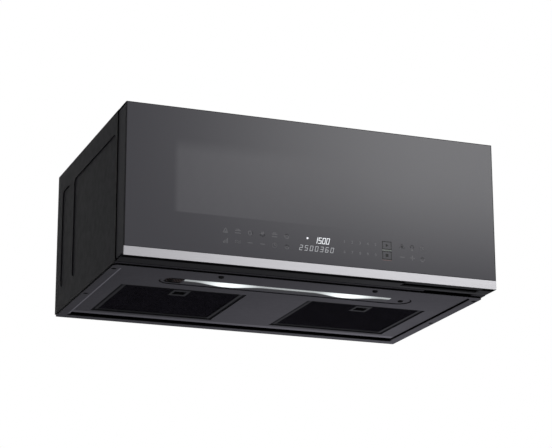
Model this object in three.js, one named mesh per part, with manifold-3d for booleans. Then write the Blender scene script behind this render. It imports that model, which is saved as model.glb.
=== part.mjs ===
// Low-profile over-the-range microwave oven, as an assembly of separate pieces.
// Millimetres, +Z up, the front looks towards -Y, +X is to the right of someone facing the front.
// Cabinet coordinates: x = 0 at mid width, y = 0 at the wall, z = 0 under the base flange.
// The last lines move the whole oven so that its origin is the middle of its wall face.

import * as THREE from 'three';
import { mergeVertices } from 'three/addons/utils/BufferGeometryUtils.js';
import Module from 'manifold-3d';

const wasm = await Module();
wasm.setup();
const { Manifold, Mesh: SolidMesh } = wasm;

// ---------------------------------------------------------------- driving dimensions

const GAP = 0.3; // clearance between pieces that touch
const SHEET = 1; // sheet steel

// Cabinet
const CASE_W = 759; // 29 7/8 in, made for a 30 in opening
const CASE_D = 446; // wall to the face of the front frame
const CASE_H = 302;
const CASE_R = 4; // folded top edges
const SIDE_FIELD = { dent: 1.5, radius: 12, bottom: 51, from_top: 45 }; // pressed into both sides
const FRONT_FIELD = { from_front: 12, from_wall: 130 };
const REAR_FIELD = { from_wall: 38, length: 58 };
const CHASSIS_T = 1.2;
const AIR_SLOT = { inset: 39, behind_oven: 16, from_wall: 14 }; // in the chassis plate
const HOOK_SLOT = { width: 44, height: 9, spacing: 420, up: 26 }; // wall plate hooks

// Base pan
const BASE_WALL_H = 12;
const BASE_SETBACK = 8; // its front wall stands this far behind the front frame
const BASE_CORNER_R = 10;
const BASE_REAR_R = 3;
const PAN_RISE = 4; // the middle is pressed up from the flange
const PAN_CORNER_R = 14;
const FLANGE_SIDE = 20;
const FLANGE_FRONT = 8;
const FLANGE_REAR = 30;

// Grease filters
const FILTER_FROM_SIDE = 58; // case side to the opening in the base pan
const FILTER_SPACING = 130; // between the two openings
const FILTER_FROM_FRONT = 156; // front frame to the opening's front edge
const FILTER_FROM_WALL = 71;
const FILTER_LAP = 4; // rests this far on the pan, front and rear
const FILTER_SIDE_CLEAR = 1;
const FILTER_BAND = 12;
const FILTER_T = 7;
const FILTER_MESH_T = 3;
const PULL = { width: 36, depth: 41, set_back: 4, hole_w: 24, hole_d: 22, cup: 11, wall: 1 };

// Cooktop light
const LIGHT_FROM_SIDE = 116.5; // case side to the opening's round end
const LIGHT_D = 50;
const LIGHT_FROM_FRONT = 100; // front frame to its centre line
const LIGHT_LAP = 4;
const LENS_FROM_END = 48;
const LENS_D = 30;
const LENS_FLANGE = 3;
const LENS_T = 2;
const LIGHT_WALL_H = 8;
const LIGHT_WALL_INSET = 3;
const LIGHT_WALL_LAP = 10; // the walls and the lamp board run this far past the lens
const LIGHT_SCREW_INSET = 22;
const LED = { radius: 3, height: 1.5, count: 6, pitch: 12, group_x: 128 };

// Oven
const OVEN_FLOOR = 58.5; // inside face
const OVEN_FROM_LEFT = 80.5; // case side to the oven's inside face
const OVEN_FROM_RIGHT = 190.5; // the same, beside the electrical parts
const OVEN_FROM_TOP = 40.5;
const OVEN_FROM_WALL = 114.7;
const LAMP = { from_front: 200, below_roof: 53, hole: 2, pitch: 8, columns: 5, rows: 4 };
const LAMP_HOLDER = { width: 70, height: 52, window_w: 44, window_h: 36, reach: 28 };
const LAMP_BRIDGE = { width: 66, height: 20, arm: 6, cap: 3 };
const BULB = { radius: 9, from_wall: 6 };

// Turntable
const TRAY_CLEAR = 10; // between the tray and the nearest oven walls
const TRAY_T = 5;
const TRAY_RIM_H = 8;
const TRAY_RIM_T = 4;
const WHEEL_R = 7.2;
const WHEEL_W = 6;
const WHEEL_BORE = 2.3;
const WHEEL_TRACK_R = 98; // turntable axis to the middle of a wheel
const WHEELS = 3;
const AXLE_R = 2;
const RING_R = 88;
const RING_BAND = 6;
const RING_H = 5;
const TURN_MOTOR_R = 27;
const TURN_MOTOR_H = 21;
const MOTOR_EAR = { reach: 8, width: 12, thick: 2 };
const SPINDLE_R = 3;
const SPINDLE_CLEAR = 3;
const SPINDLE_SEAT = 6; // the coupler's spindle goes this far into the motor
const COUPLER = { radius: 17, lobe_r: 6, boss_r: 10, below_axle: 2 };
const TRAY_KEY = { clear: 1.5, wall: 3.5, height: 4 }; // ring under the tray, round the coupler
const AXLE_SHOULDER = 1;
const AXLE_HEAD = { over: 1.6, length: 2 };

// Microwave source and high voltage, right of the oven
const GUIDE = { reach: 42, depth: 130, height: 92, from_front: 118, below_roof: 7 };
const GUIDE_FLANGE = { sides: 8, ends: 6 };
const PORT = { width: 44, height: 74, forward: 30 };
const MICA_T = 0.8;
const MICA_LAP = 8;
const MAGNETRON = { length: 68, depth: 84, height: 82, plate: 2, anode_r: 19, antenna_r: 8, antenna: 24 };
const FIN = { count: 6, first: 14, pitch: 8, thick: 0.8, setback: 3 };
const FILTER_BOX = { length: 24, depth: 58, height: 46 };
const CORE = { width: 96, depth: 58, height: 78, leg: 16, from_side: 83.5, from_front: 96 };
const COIL_OVERHANG = 15;
const COIL_R = 8;
const CAPACITOR = { length: 96, width: 52, height: 33, from_side: 87.5, from_front: 232 };
const TAG = { length: 9, width: 6, thick: 1.2, spacing: 20 };
const BOARD_T = 1.6;
const POWER_BOARD = { length: 132, height: 118, from_front: 44, from_side: 4, foot: 10, foot_t: 1.5 };
const RELAY = { count: 3, width: 19, height: 28, depth: 16, pitch: 26, from_edge: 22, from_top: 22 };
const LINE_COIL = { radius: 13, depth: 18, from_edge: 24, from_top: 28 };
const CAN = { count: 2, radius: 7, depth: 22, pitch: 22, from_edge: 24, up: 34 };

// Cooling fan, rear right
const FAN = { from_side: 91.5, up: 128, radius: 50, blades: 5, hub_r: 13, width: 22, from_wall: 122 };
const BLADE = { chord: 34, thick: 1.6, pitch_deg: 52 };
const SHROUD = { size: 124, throat_clear: 4, lead: 2, throat: 16, foot: 20, arm: 6, arm_w: 12 };
const FAN_MOTOR = { width: 56, height: 50, depth: 20, behind: 10, bore: 2.8, shaft_r: 2.5 };
const FAN_COIL = { width: 34, height: 18, overlap: 12, overhang: 5 };

// Exhaust blower, behind the oven
const DUCT_W = 254; // 3 1/4 by 10 in duct
const DUCT_D = 83;
const BLOWER_FROM_WALL = 57.5;
const BLOWER_FROM_TOP = 90;
const SCROLL_R = 51;
const SCROLL_W = 80;
const SCROLL_WALL = 1.5;
const SCROLL_INLET_R = 37;
const SCROLL_OUTLET_D = 70;
const IMPELLER_R = 41;
const IMPELLER_W = 62;
const IMPELLER_VANES = 20;
const BLOWER_MOTOR_R = 38;
const BLOWER_MOTOR_HALF = 34;
const BLOWER_SHAFT_R = 4;
const SHAFT_CLEAR = 3;
const BLOWER_BOSS = { radius: 12, length: 6 };
const SCROLL_FROM_MOTOR = 10;
const MOUNT_STRIP = { thick: 1.5, down: 36, up: 30, arm: 16 };
const CRADLE = { half: 26, thick: 2 };
const VANE = { chord: 7, thick: 0.9, angle_deg: 35, ring: 8, ring_w: 3 };
const COLLAR_H = 31;
const COLLAR_WALL = 1.2;
const COLLAR_FLANGE = 7;
const FLAP_AXLE_R = 2;
const FLAP_T = 1;
const FLAP_EDGE_CLEAR = 1.5;

// Recirculation outlet, top front
const GRILLE = { from_side: 179.5, depth: 34, from_front: 14, bars: 26, flange: 5, border: 4, open: 0.6 };
const CHARCOAL = { height: 30, narrower: 20, lap: 3, rim: 6, recess: 2 };

// Door
const DOOR_T = 49;
const DOOR_GAP = 3; // between the door and the front frame
const DOOR_BOTTOM = 4; // above the base flange
const DOOR_SIDE_INSET = 1.5; // inside the case's sides
const DOOR_TOP_INSET = 1; // below the case's top
const DOOR_WALL = 3;
const WEB_T = 2;
const GLASS_T = 4;
const TRIM_H = 17.7; // brushed steel strip
const TRIM_T = 1.5;
const WINDOW_INSET = { sides: 20, bottom: 38, top: 26 }; // inside the oven's mouth
const TOUCH = { from_left: 183, from_right: 129, height: 46, centre_z: 52 };
const DISPLAY = { width: 84, height: 32, depth: 9, x: 2 };
const POCKET = { width: 162, depth: 21, height: 22, from_edge: 109, from_back: 12, wall: 2.2 };
const LIP_NOTCH = { width: 104, height: 8, from_side: 27.5 };
const CHOKE_LAP = 4; // choke's inner wall stands this far outside the oven's mouth
const CHOKE_CHANNEL = 25;
const CHOKE_DEPTH = 15;
const COVER_T = 2;
const PANE_T = 1.4;
const PANE_INSET = 8;

// Door hinge
const HINGE_FROM_EDGE = 12;
const HINGE_FROM_BACK = 30;
const PIN_R = 4;
const PIN_LENGTH = 18;
const BUSH_R = 6.5;
const BUSH_LENGTH = 12;
const TAB_HALF = 9;
const TAB_T = 2.5;
const TAB_CLEAR = 1.9;
const BRACKET_LEG = 34;
const BRACKET_LEG_T = 1.5;

// Door latch and interlock
const LATCH_FROM_SIDE = 139.5;
const LATCH_LIFT = 5;
const LOWER_HOOK_UP = 92; // above the base flange
const UPPER_HOOK_DOWN = 72; // below the case's top
const HOOK = { thick: 6, height: 20, reach: 24, nose: 4, nose_length: 7 };
const LATCH_BAR = { width: 8, end: 18, setback: 12 };
const LATCH_GUIDE = { inset: 40, wall: 2, height: 16, shelf_t: 3, shelf_w: 18 };
const SLOT_CLEAR = 1.5;
const SWING_CLEAR = 4; // extra slot width on the side to which the hooks swing
const LEDGE_CLEAR = 0.5;
const LATCH_BOARD = { left: 14, right: 22, ends: 26, plate: 1.5, web: 2, depth: 44, ledge_t: 4 };
const SWITCH = { length: 28, depth: 16, height: 10 };
const PLUNGER = { size: 3, reach: 3, inside: 3, stroke: 2 };
const SPRING = { radius: 3.6, wire: 0.5, turns: 9, length: 20 };

// Fasteners
const SCREW = { head_r: 4, head_h: 2, shank_r: 1.75, shank: 7, hole_r: 2.3 };
const FLANGE_SCREWS = { from_edge: 7, from_front: [35, 235], hole_r: 5.2 }; // sunk heads
const PAN_SCREWS = { spacing: 318, from_front: 38 };

// Cord grommet, top rear right
const GROMMET = { from_side: 61.5, from_wall: 40, outer_r: 13, neck_r: 10, bore_r: 6, flange_h: 1.7 };

// ---------------------------------------------------------------- derived places

const halfCase = CASE_W / 2;
const caseInside = halfCase - SHEET;
const front = -CASE_D;
const frameBack = front + SHEET;
const behindFrame = frameBack + GAP;
const beforeRearPanel = -SHEET - GAP;
const shellBottom = DOOR_BOTTOM; // case sides, rear panel and front frame end here
const caseTopInside = CASE_H - SHEET;

const ovenLeft = -halfCase + OVEN_FROM_LEFT;
const ovenRight = halfCase - OVEN_FROM_RIGHT;
const ovenRear = -OVEN_FROM_WALL;
const ovenTop = CASE_H - OVEN_FROM_TOP;
const ovenRoof = ovenTop + SHEET;
const ovenMidX = (ovenLeft + ovenRight) / 2;
const ovenMidY = (behindFrame + ovenRear) / 2;
const trayR = Math.min(ovenRight - ovenLeft, ovenRear - behindFrame) / 2 - TRAY_CLEAR;
const chassisTop = OVEN_FLOOR - SHEET - GAP;
const chassisBottom = chassisTop - CHASSIS_T;
const bayLeft = ovenRight + SHEET + GAP; // space right of the oven
const onChassis = chassisTop + GAP;

const onPan = PAN_RISE + SHEET + GAP;
const baseFront = front + BASE_SETBACK;
const doorBack = front - DOOR_GAP;
const halfDoor = halfCase - DOOR_SIDE_INSET;
const doorTop = CASE_H - DOOR_TOP_INSET;
const doorH = doorTop - DOOR_BOTTOM;
const latchX = halfCase - LATCH_FROM_SIDE;
const hookHeights = [LOWER_HOOK_UP, CASE_H - UPPER_HOOK_DOWN];

const filterW = halfCase - FILTER_FROM_SIDE - FILTER_SPACING / 2;
const filterX = (FILTER_SPACING + filterW) / 2;
const filterY = [front + FILTER_FROM_FRONT, -FILTER_FROM_WALL];
const lightW = CASE_W - 2 * LIGHT_FROM_SIDE;
const lightY = front + LIGHT_FROM_FRONT;

// ---------------------------------------------------------------- solids

const ROUND = 24; // sides of an ordinary round

function solidOf(geometry) {
  const bare = new THREE.BufferGeometry();
  bare.setAttribute('position', geometry.getAttribute('position'));
  bare.setIndex(geometry.getIndex());
  const merged = mergeVertices(bare, 1e-4);
  const index = merged.getIndex().array;
  const faces = [];
  for (let i = 0; i < index.length; i += 3) {
    const [a, b, c] = [index[i], index[i + 1], index[i + 2]];
    if (a !== b && b !== c && c !== a) faces.push(a, b, c);
  }
  return new Manifold(new SolidMesh({
    numProp: 3,
    vertProperties: Float32Array.from(merged.getAttribute('position').array),
    triVerts: Uint32Array.from(faces),
  }));
}

function geometryOf(solid) {
  const mesh = solid.getMesh();
  const geometry = new THREE.BufferGeometry();
  geometry.setAttribute('position', new THREE.BufferAttribute(mesh.vertProperties, 3));
  geometry.setIndex(new THREE.BufferAttribute(mesh.triVerts, 1));
  geometry.computeVertexNormals();
  return geometry;
}

function joined(...solids) {
  return solids.reduce((whole, next) => whole.add(next));
}

function without(whole, ...cutters) {
  return cutters.reduce((rest, cutter) => rest.subtract(cutter), whole);
}

// A box between two values on each axis.
function block([x0, x1], [y0, y1], [z0, z1]) {
  const geometry = new THREE.BoxGeometry(x1 - x0, y1 - y0, z1 - z0);
  geometry.translate((x0 + x1) / 2, (y0 + y1) / 2, (z0 + z1) / 2);
  return solidOf(geometry);
}

// Turns a shape drawn in two of the axes, with its depth along the third, into place.
// x: the shape lies in y and z. y: in x and z. z: in x and y.
function alongAxis(geometry, axis, from, to) {
  if (axis === 'x') {
    const [x, y, z] = [new THREE.Vector3(1, 0, 0), new THREE.Vector3(0, 1, 0), new THREE.Vector3(0, 0, 1)];
    geometry.applyMatrix4(new THREE.Matrix4().makeBasis(y, z, x));
    geometry.translate(from, 0, 0);
  } else if (axis === 'y') {
    geometry.rotateX(Math.PI / 2);
    geometry.translate(0, to, 0);
  } else {
    geometry.translate(0, 0, from);
  }
  return geometry;
}

function slab(shape, axis, [from, to], curveSegments = 5) {
  const geometry = new THREE.ExtrudeGeometry(shape, { depth: to - from, bevelEnabled: false, curveSegments });
  return solidOf(alongAxis(geometry, axis, from, to));
}

// A round bar along an axis, centred at the other two coordinates.
function rod(axis, [from, to], radius, [a, b], sides = ROUND) {
  const geometry = new THREE.CylinderGeometry(radius, radius, to - from, sides);
  const middle = (from + to) / 2;
  if (axis === 'x') {
    geometry.rotateZ(-Math.PI / 2);
    geometry.translate(middle, a, b);
  } else if (axis === 'y') {
    geometry.translate(a, middle, b);
  } else {
    geometry.rotateX(Math.PI / 2);
    geometry.translate(a, b, middle);
  }
  return solidOf(geometry);
}

function tube(axis, span, outer, inner, at, sides = ROUND) {
  const [from, to] = span;
  return rod(axis, span, outer, at, sides).subtract(rod(axis, [from - 1, to + 1], inner, at, sides));
}

// A rectangle with its own radius at each corner: low-low, high-low, high-high, low-high.
function rectangle([a0, a1], [b0, b1], radii = 0) {
  const [r1, r2, r3, r4] = Array.isArray(radii) ? radii : [radii, radii, radii, radii];
  const shape = new THREE.Shape();
  shape.moveTo(a0 + r1, b0);
  shape.lineTo(a1 - r2, b0);
  if (r2) shape.absarc(a1 - r2, b0 + r2, r2, -Math.PI / 2, 0, false);
  shape.lineTo(a1, b1 - r3);
  if (r3) shape.absarc(a1 - r3, b1 - r3, r3, 0, Math.PI / 2, false);
  shape.lineTo(a0 + r4, b1);
  if (r4) shape.absarc(a0 + r4, b1 - r4, r4, Math.PI / 2, Math.PI, false);
  shape.lineTo(a0, b0 + r1);
  if (r1) shape.absarc(a0 + r1, b0 + r1, r1, Math.PI, 1.5 * Math.PI, false);
  return shape;
}

function stadium(centreX, centreY, length, width) {
  const r = width / 2;
  const along = [centreX - length / 2, centreX + length / 2];
  return rectangle(along, [centreY - r, centreY + r], r - 0.01);
}

// A span of the given length about a middle.
function about(middle, length) {
  return [middle - length / 2, middle + length / 2];
}

function grown([from, to], by) {
  return [from - by, to + by];
}

// ---------------------------------------------------------------- the scene graph

const microwave = new THREE.Group();
const cabinet = new THREE.Group();
microwave.add(cabinet);

const FINISHES = {
  blackPaint: { color: 0x2a2a2c, roughness: 0.55, metalness: 0.1 },
  basePaint: { color: 0x3c3c40, roughness: 0.5, metalness: 0.1 },
  galvanised: { color: 0x9a9c9e, roughness: 0.4, metalness: 0.9 },
  ovenPaint: { color: 0xb9b6ae, roughness: 0.45, metalness: 0.1 },
  blackSteel: { color: 0x161518, roughness: 0.6, metalness: 0.4 },
  brushedSteel: { color: 0xc9c8cc, roughness: 0.35, metalness: 1 },
  bareSteel: { color: 0xa8a8aa, roughness: 0.35, metalness: 1 },
  aluminium: { color: 0xb8b9bb, roughness: 0.35, metalness: 1 },
  darkGlass: { color: 0x4c4c50, roughness: 0.12, metalness: 0 },
  clearGlass: { color: 0xd9e4e4, roughness: 0.05, metalness: 0 },
  frosted: { color: 0xf4f6f8, roughness: 0.6, metalness: 0 },
  blackPlastic: { color: 0x1d1d1f, roughness: 0.6, metalness: 0 },
  whitePlastic: { color: 0xe2e0da, roughness: 0.6, metalness: 0 },
  mica: { color: 0xb7a98d, roughness: 0.7, metalness: 0 },
  copper: { color: 0x9c5b33, roughness: 0.45, metalness: 0.8 },
  charcoal: { color: 0x18181a, roughness: 0.95, metalness: 0 },
  circuit: { color: 0x2f5b3a, roughness: 0.6, metalness: 0 },
  rubber: { color: 0x151515, roughness: 0.85, metalness: 0 },
};

function addPart(group, name, solid, finish) {
  const mesh = new THREE.Mesh(geometryOf(solid), new THREE.MeshStandardMaterial(FINISHES[finish]));
  mesh.name = name;
  group.add(mesh);
  return mesh;
}

function groupAt(parent, x, y, z) {
  const group = new THREE.Group();
  group.position.set(x, y, z);
  parent.add(group);
  return group;
}

// ---------------------------------------------------------------- cabinet shells

const collarMidY = -BLOWER_FROM_WALL;
const grilleW = CASE_W - 2 * GRILLE.from_side;
const grilleY = [front + GRILLE.from_front, front + GRILLE.from_front + GRILLE.depth];
const grommetAt = [halfCase - GROMMET.from_side, -GROMMET.from_wall];
const sideFields = [
  [front + FRONT_FIELD.from_front, -FRONT_FIELD.from_wall],
  [-REAR_FIELD.from_wall - REAR_FIELD.length, -REAR_FIELD.from_wall],
];

// Top and sides, folded from one sheet, with pressed fields on the sides.
function outerCase() {
  const wrap = (half, top, r) => slab(
    rectangle([-half, half], [shellBottom, top], [0, 0, r, r]), 'y', [front, 0],
  );
  const bend = CASE_R - SHEET;
  const inside = rectangle([-caseInside, caseInside], [shellBottom - 1, caseTopInside], [0, 0, bend, bend]);
  const hollow = slab(inside, 'y', [front - 1, 1]);
  let shell = wrap(halfCase, CASE_H, CASE_R).subtract(hollow);
  for (const side of [-1, 1]) {
    for (const field of sideFields) {
      const high = [SIDE_FIELD.bottom, CASE_H - SIDE_FIELD.from_top];
      const pressing = (grow, span) => slab(
        rectangle(grown(field, grow), grown(high, grow), SIDE_FIELD.radius + grow), 'x',
        span.map((x) => side * x).sort((a, b) => a - b),
      );
      shell = shell.add(pressing(SHEET, [caseInside - SIDE_FIELD.dent, halfCase]));
      shell = shell.subtract(pressing(0, [halfCase - SIDE_FIELD.dent, halfCase + 1]));
    }
  }
  const ductHole = block(
    about(0, DUCT_W + 2 * GAP), about(collarMidY, DUCT_D + 2 * GAP), [caseTopInside - 1, CASE_H + 1],
  );
  const grilleHole = block(about(0, grilleW), grilleY, [caseTopInside - 1, CASE_H + 1]);
  const cordHole = rod('z', [caseTopInside - 1, CASE_H + 1], GROMMET.neck_r + GAP, grommetAt);
  return without(shell, ductHole, grilleHole, cordHole);
}

// Flat rear panel, with the slots that hook on a wall plate.
function rearPanel() {
  const inside = caseInside - GAP;
  const outline = rectangle([-inside, inside], [shellBottom, caseTopInside - GAP], [0, 0, CASE_R, CASE_R]);
  const panel = slab(outline, 'y', [-SHEET, 0]);
  const hookZ = [HOOK_SLOT.up, HOOK_SLOT.up + HOOK_SLOT.height];
  const slots = [-1, 1].map((side) => block(
    about(side * HOOK_SLOT.spacing / 2, HOOK_SLOT.width), [-SHEET - 1, 1], hookZ,
  ));
  return without(panel, ...slots);
}

const baseHalf = caseInside - GAP;
const flangeScrews = [-1, 1].flatMap((side) => FLANGE_SCREWS.from_front.map(
  (back) => [side * (baseHalf - FLANGE_SCREWS.from_edge), front + back],
));
const panScrews = [-1, 1].map((side) => [side * PAN_SCREWS.spacing / 2, front + PAN_SCREWS.from_front]);

// Tray with a perimeter flange; its middle is pressed up and holds the filters and the light.
function basePan() {
  const outline = (inset, r) => rectangle(
    [-baseHalf + inset, baseHalf - inset], [baseFront + inset, beforeRearPanel - inset],
    [BASE_CORNER_R - r, BASE_CORNER_R - r, BASE_REAR_R - r, BASE_REAR_R - r],
  );
  const field = (grow) => rectangle(
    grown([-baseHalf + FLANGE_SIDE, baseHalf - FLANGE_SIDE], grow),
    grown([baseFront + FLANGE_FRONT, beforeRearPanel - FLANGE_REAR], grow),
    PAN_CORNER_R + grow,
  );
  const tray = slab(outline(0, 0), 'z', [0, BASE_WALL_H])
    .subtract(slab(outline(SHEET, SHEET), 'z', [SHEET, BASE_WALL_H + 1]));
  const raised = slab(field(SHEET), 'z', [0, PAN_RISE + SHEET]);
  const pressed = slab(field(0), 'z', [-1, PAN_RISE]);
  const openings = [-1, 1].map((side) => block(about(side * filterX, filterW), filterY, [0, BASE_WALL_H]));
  const lightHole = slab(stadium(0, lightY, lightW, LIGHT_D), 'z', [0, BASE_WALL_H]);
  const sunk = flangeScrews.map((at) => rod('z', [-1, BASE_WALL_H], FLANGE_SCREWS.hole_r, at, 16));
  const holes = panScrews.map((at) => rod('z', [-1, BASE_WALL_H], SCREW.hole_r, at, 10));
  return without(joined(tray, raised), pressed, ...openings, lightHole, ...sunk, ...holes);
}

const airSlot = {
  x: grown([ovenLeft, ovenRight], -AIR_SLOT.inset),
  y: [ovenRear + AIR_SLOT.behind_oven, -AIR_SLOT.from_wall],
};

// Floor of the upper space: carries the oven, the transformer and the turntable motor.
function chassisPlate() {
  const half = caseInside - SIDE_FIELD.dent - GAP;
  const plate = block([-half, half], [behindFrame, beforeRearPanel], [chassisBottom, chassisTop]);
  const through = [chassisBottom - 1, chassisTop + 1];
  const spindleHole = rod('z', through, SPINDLE_R + SPINDLE_CLEAR, [ovenMidX, ovenMidY], 16);
  return without(plate, spindleHole, block(airSlot.x, airSlot.y, through));
}

const hingeX = -halfDoor + HINGE_FROM_EDGE;
const hingeTabZ = [
  [DOOR_BOTTOM + TAB_CLEAR, DOOR_BOTTOM + TAB_CLEAR + TAB_T],
  [doorTop - TAB_CLEAR - TAB_T, doorTop - TAB_CLEAR],
];
const hookSlotX = [latchX - HOOK.thick / 2 - SLOT_CLEAR, latchX + HOOK.thick / 2 + SWING_CLEAR];
const hookSlotZ = (height) => [
  height - HOOK.height / 2 - HOOK.nose - SLOT_CLEAR,
  height + HOOK.height / 2 + LATCH_LIFT + SLOT_CLEAR,
];

// Painted face plate around the oven's mouth, folded back along its edges.
function frontFrame() {
  const half = caseInside - GAP;
  const top = caseTopInside - GAP;
  const lipEnd = baseFront - GAP;
  const outline = (inset) => rectangle(
    [-half + inset, half - inset], [shellBottom + inset, top - inset], [0, 0, CASE_R - inset, CASE_R - inset],
  );
  const hollow = slab(outline(SHEET), 'y', [frameBack, lipEnd + 1]);
  const tray = slab(outline(0), 'y', [front, lipEnd]).subtract(hollow);
  const through = [front - 1, frameBack + 1];
  const mouth = block([ovenLeft, ovenRight], through, [OVEN_FLOOR, ovenTop]);
  const hookSlots = hookHeights.map((height) => block(hookSlotX, through, hookSlotZ(height)));
  const tabSlotX = about(hingeX, 2 * (TAB_HALF + GAP));
  const tabSlots = hingeTabZ.map((tab) => block(tabSlotX, through, grown(tab, GAP)));
  const notchRight = halfCase - LIP_NOTCH.from_side;
  const notch = block(
    [notchRight - LIP_NOTCH.width, notchRight], [front - 1, baseFront], [0, shellBottom + LIP_NOTCH.height],
  );
  return without(tray, mouth, ...hookSlots, ...tabSlots, notch);
}

addPart(cabinet, 'outer_case', outerCase(), 'blackPaint');
addPart(cabinet, 'rear_panel', rearPanel(), 'galvanised');
addPart(cabinet, 'base_pan', basePan(), 'basePaint');
addPart(cabinet, 'chassis_plate', chassisPlate(), 'galvanised');
addPart(cabinet, 'front_frame', frontFrame(), 'blackPaint');

// ---------------------------------------------------------------- grease filters

const filterOutside = filterW - 2 * FILTER_SIDE_CLEAR;
const filterLength = filterY[1] - filterY[0] + 2 * FILTER_LAP;
const filterInside = filterOutside - 2 * FILTER_BAND;
const filterInsideLength = filterLength - 2 * (FILTER_LAP + FILTER_BAND);
const pullFront = -filterInsideLength / 2 + PULL.set_back;

// Local origin: the middle of a filter, at its lowest face.
// Crimped cassette: rim, mesh pad and a cup that a finger pulls.
function greaseFilter() {
  const rim = block(about(0, filterOutside), about(0, filterLength), [0, FILTER_T])
    .subtract(block(about(0, filterInside), about(0, filterInsideLength), [-1, FILTER_T + 1]));
  const plateY = [-filterInsideLength / 2 - 1, pullFront + PULL.depth];
  const plate = block(about(0, PULL.width), plateY, [0, SHEET]);
  const holeX = about(0, PULL.hole_w);
  const holeY = about(pullFront + PULL.depth / 2, PULL.hole_d);
  const cup = block(grown(holeX, PULL.wall), grown(holeY, PULL.wall), [0, PULL.cup]);
  const hole = block(holeX, holeY, [-1, PULL.cup - PULL.wall]);
  const pad = block(
    grown(about(0, filterInside), 1), grown(about(0, filterInsideLength), 1), [SHEET, SHEET + FILTER_MESH_T],
  );
  return joined(rim, pad, plate, cup).subtract(hole);
}

for (const [side, name] of [[-1, 'left'], [1, 'right']]) {
  const filter = groupAt(cabinet, side * filterX, (filterY[0] + filterY[1]) / 2, onPan);
  addPart(filter, `grease_filter_${name}`, greaseFilter(), 'blackSteel');
}

// ---------------------------------------------------------------- cooktop light

const light = groupAt(cabinet, 0, lightY, onPan);
const lensY = about(0, LENS_D);
const lightWallY = about(0, LIGHT_D - 2 * LIGHT_WALL_INSET);
const lensW = lightW - 2 * LENS_FROM_END;
const lightScrewX = lightW / 2 - LIGHT_SCREW_INSET;

// Cover: a stadium plate that seats inside the pan, with two walls that carry the lamp board.
function lightCover() {
  const plate = slab(stadium(0, 0, lightW + 2 * LIGHT_LAP, LIGHT_D + 2 * LIGHT_LAP), 'z', [0, SHEET]);
  const wallX = about(0, lensW + 2 * LIGHT_WALL_LAP);
  const walls = [
    block(wallX, [lightWallY[0], lightWallY[0] + SHEET], [0, LIGHT_WALL_H]),
    block(wallX, [lightWallY[1] - SHEET, lightWallY[1]], [0, LIGHT_WALL_H]),
  ];
  const opening = block(about(0, lensW), lensY, [-1, SHEET + 1]);
  const holes = [-1, 1].map((side) => rod('z', [-1, SHEET + 1], SCREW.hole_r, [side * lightScrewX, 0], 10));
  return without(joined(plate, ...walls), opening, ...holes);
}

function lightLens() {
  const window = block(about(0, lensW - 2 * GAP), grown(lensY, -GAP), [-SHEET / 2, SHEET + GAP + LENS_T]);
  const flange = block(
    about(0, lensW + 2 * LENS_FLANGE), grown(lensY, LENS_FLANGE), [SHEET + GAP, SHEET + GAP + LENS_T],
  );
  return joined(window, flange);
}

function ledBoard() {
  const under = LIGHT_WALL_H + GAP;
  const board = block(about(0, lensW + 2 * LIGHT_WALL_LAP), lightWallY, [under, under + BOARD_T]);
  const leds = [];
  for (const side of [-1, 1]) {
    for (let i = 0; i < LED.count; i += 1) {
      const x = side * LED.group_x + (i - (LED.count - 1) / 2) * LED.pitch;
      leds.push(rod('z', [under - LED.height, under + BOARD_T / 2], LED.radius, [x, 0], 8));
    }
  }
  return joined(board, ...leds);
}

// Pan head down and shank up, through the cover.
function lightScrew() {
  const head = rod('z', [-GAP - SCREW.head_h, -GAP], SCREW.head_r, [0, 0], 16);
  const shank = rod('z', [-GAP - 1, SCREW.shank], SCREW.shank_r, [0, 0], 10);
  return joined(head, shank);
}

addPart(light, 'light_cover', lightCover(), 'basePaint');
addPart(light, 'light_lens', lightLens(), 'frosted');
addPart(light, 'led_board', ledBoard(), 'whitePlastic');
for (const [side, name] of [[-1, 'left'], [1, 'right']]) {
  const screw = addPart(light, `light_screw_${name}`, lightScrew(), 'blackSteel');
  screw.position.x = side * lightScrewX;
}

// ---------------------------------------------------------------- oven and turntable

const portY = about(behindFrame + GUIDE.from_front + GUIDE.depth / 2 - PORT.forward, PORT.width);
const guideZ = [ovenTop - GUIDE.below_roof - GUIDE.height, ovenTop - GUIDE.below_roof];
const portZ = about((guideZ[0] + guideZ[1]) / 2, PORT.height);
const lampY = behindFrame + LAMP.from_front;
const lampZ = ovenTop - LAMP.below_roof;

function ovenCavity() {
  const box = block(
    [ovenLeft - SHEET, ovenRight + SHEET], [behindFrame, ovenRear + SHEET], [OVEN_FLOOR - SHEET, ovenRoof],
  ).subtract(block([ovenLeft, ovenRight], [behindFrame - 1, ovenRear], [OVEN_FLOOR, ovenTop]));
  const spindleHole = rod(
    'z', [OVEN_FLOOR - SHEET - 1, OVEN_FLOOR + 1], SPINDLE_R + SPINDLE_CLEAR, [ovenMidX, ovenMidY], 16,
  );
  const port = block([ovenRight - 1, ovenRight + SHEET + 1], portY, portZ);
  const lampHoles = [];
  for (let column = 0; column < LAMP.columns; column += 1) {
    for (let row = 0; row < LAMP.rows; row += 1) {
      const y = lampY + (column - (LAMP.columns - 1) / 2) * LAMP.pitch;
      const z = lampZ + (row - (LAMP.rows - 1) / 2) * LAMP.pitch;
      lampHoles.push(rod('x', [ovenLeft - SHEET - 1, ovenLeft + 1], LAMP.hole, [y, z], 6));
    }
  }
  return without(box, spindleHole, port, ...lampHoles);
}

addPart(cabinet, 'oven_cavity', ovenCavity(), 'ovenPaint');

function micaCover() {
  return block([ovenRight - GAP - MICA_T, ovenRight - GAP], grown(portY, MICA_LAP), grown(portZ, MICA_LAP));
}

addPart(cabinet, 'mica_cover', micaCover(), 'mica');

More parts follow.
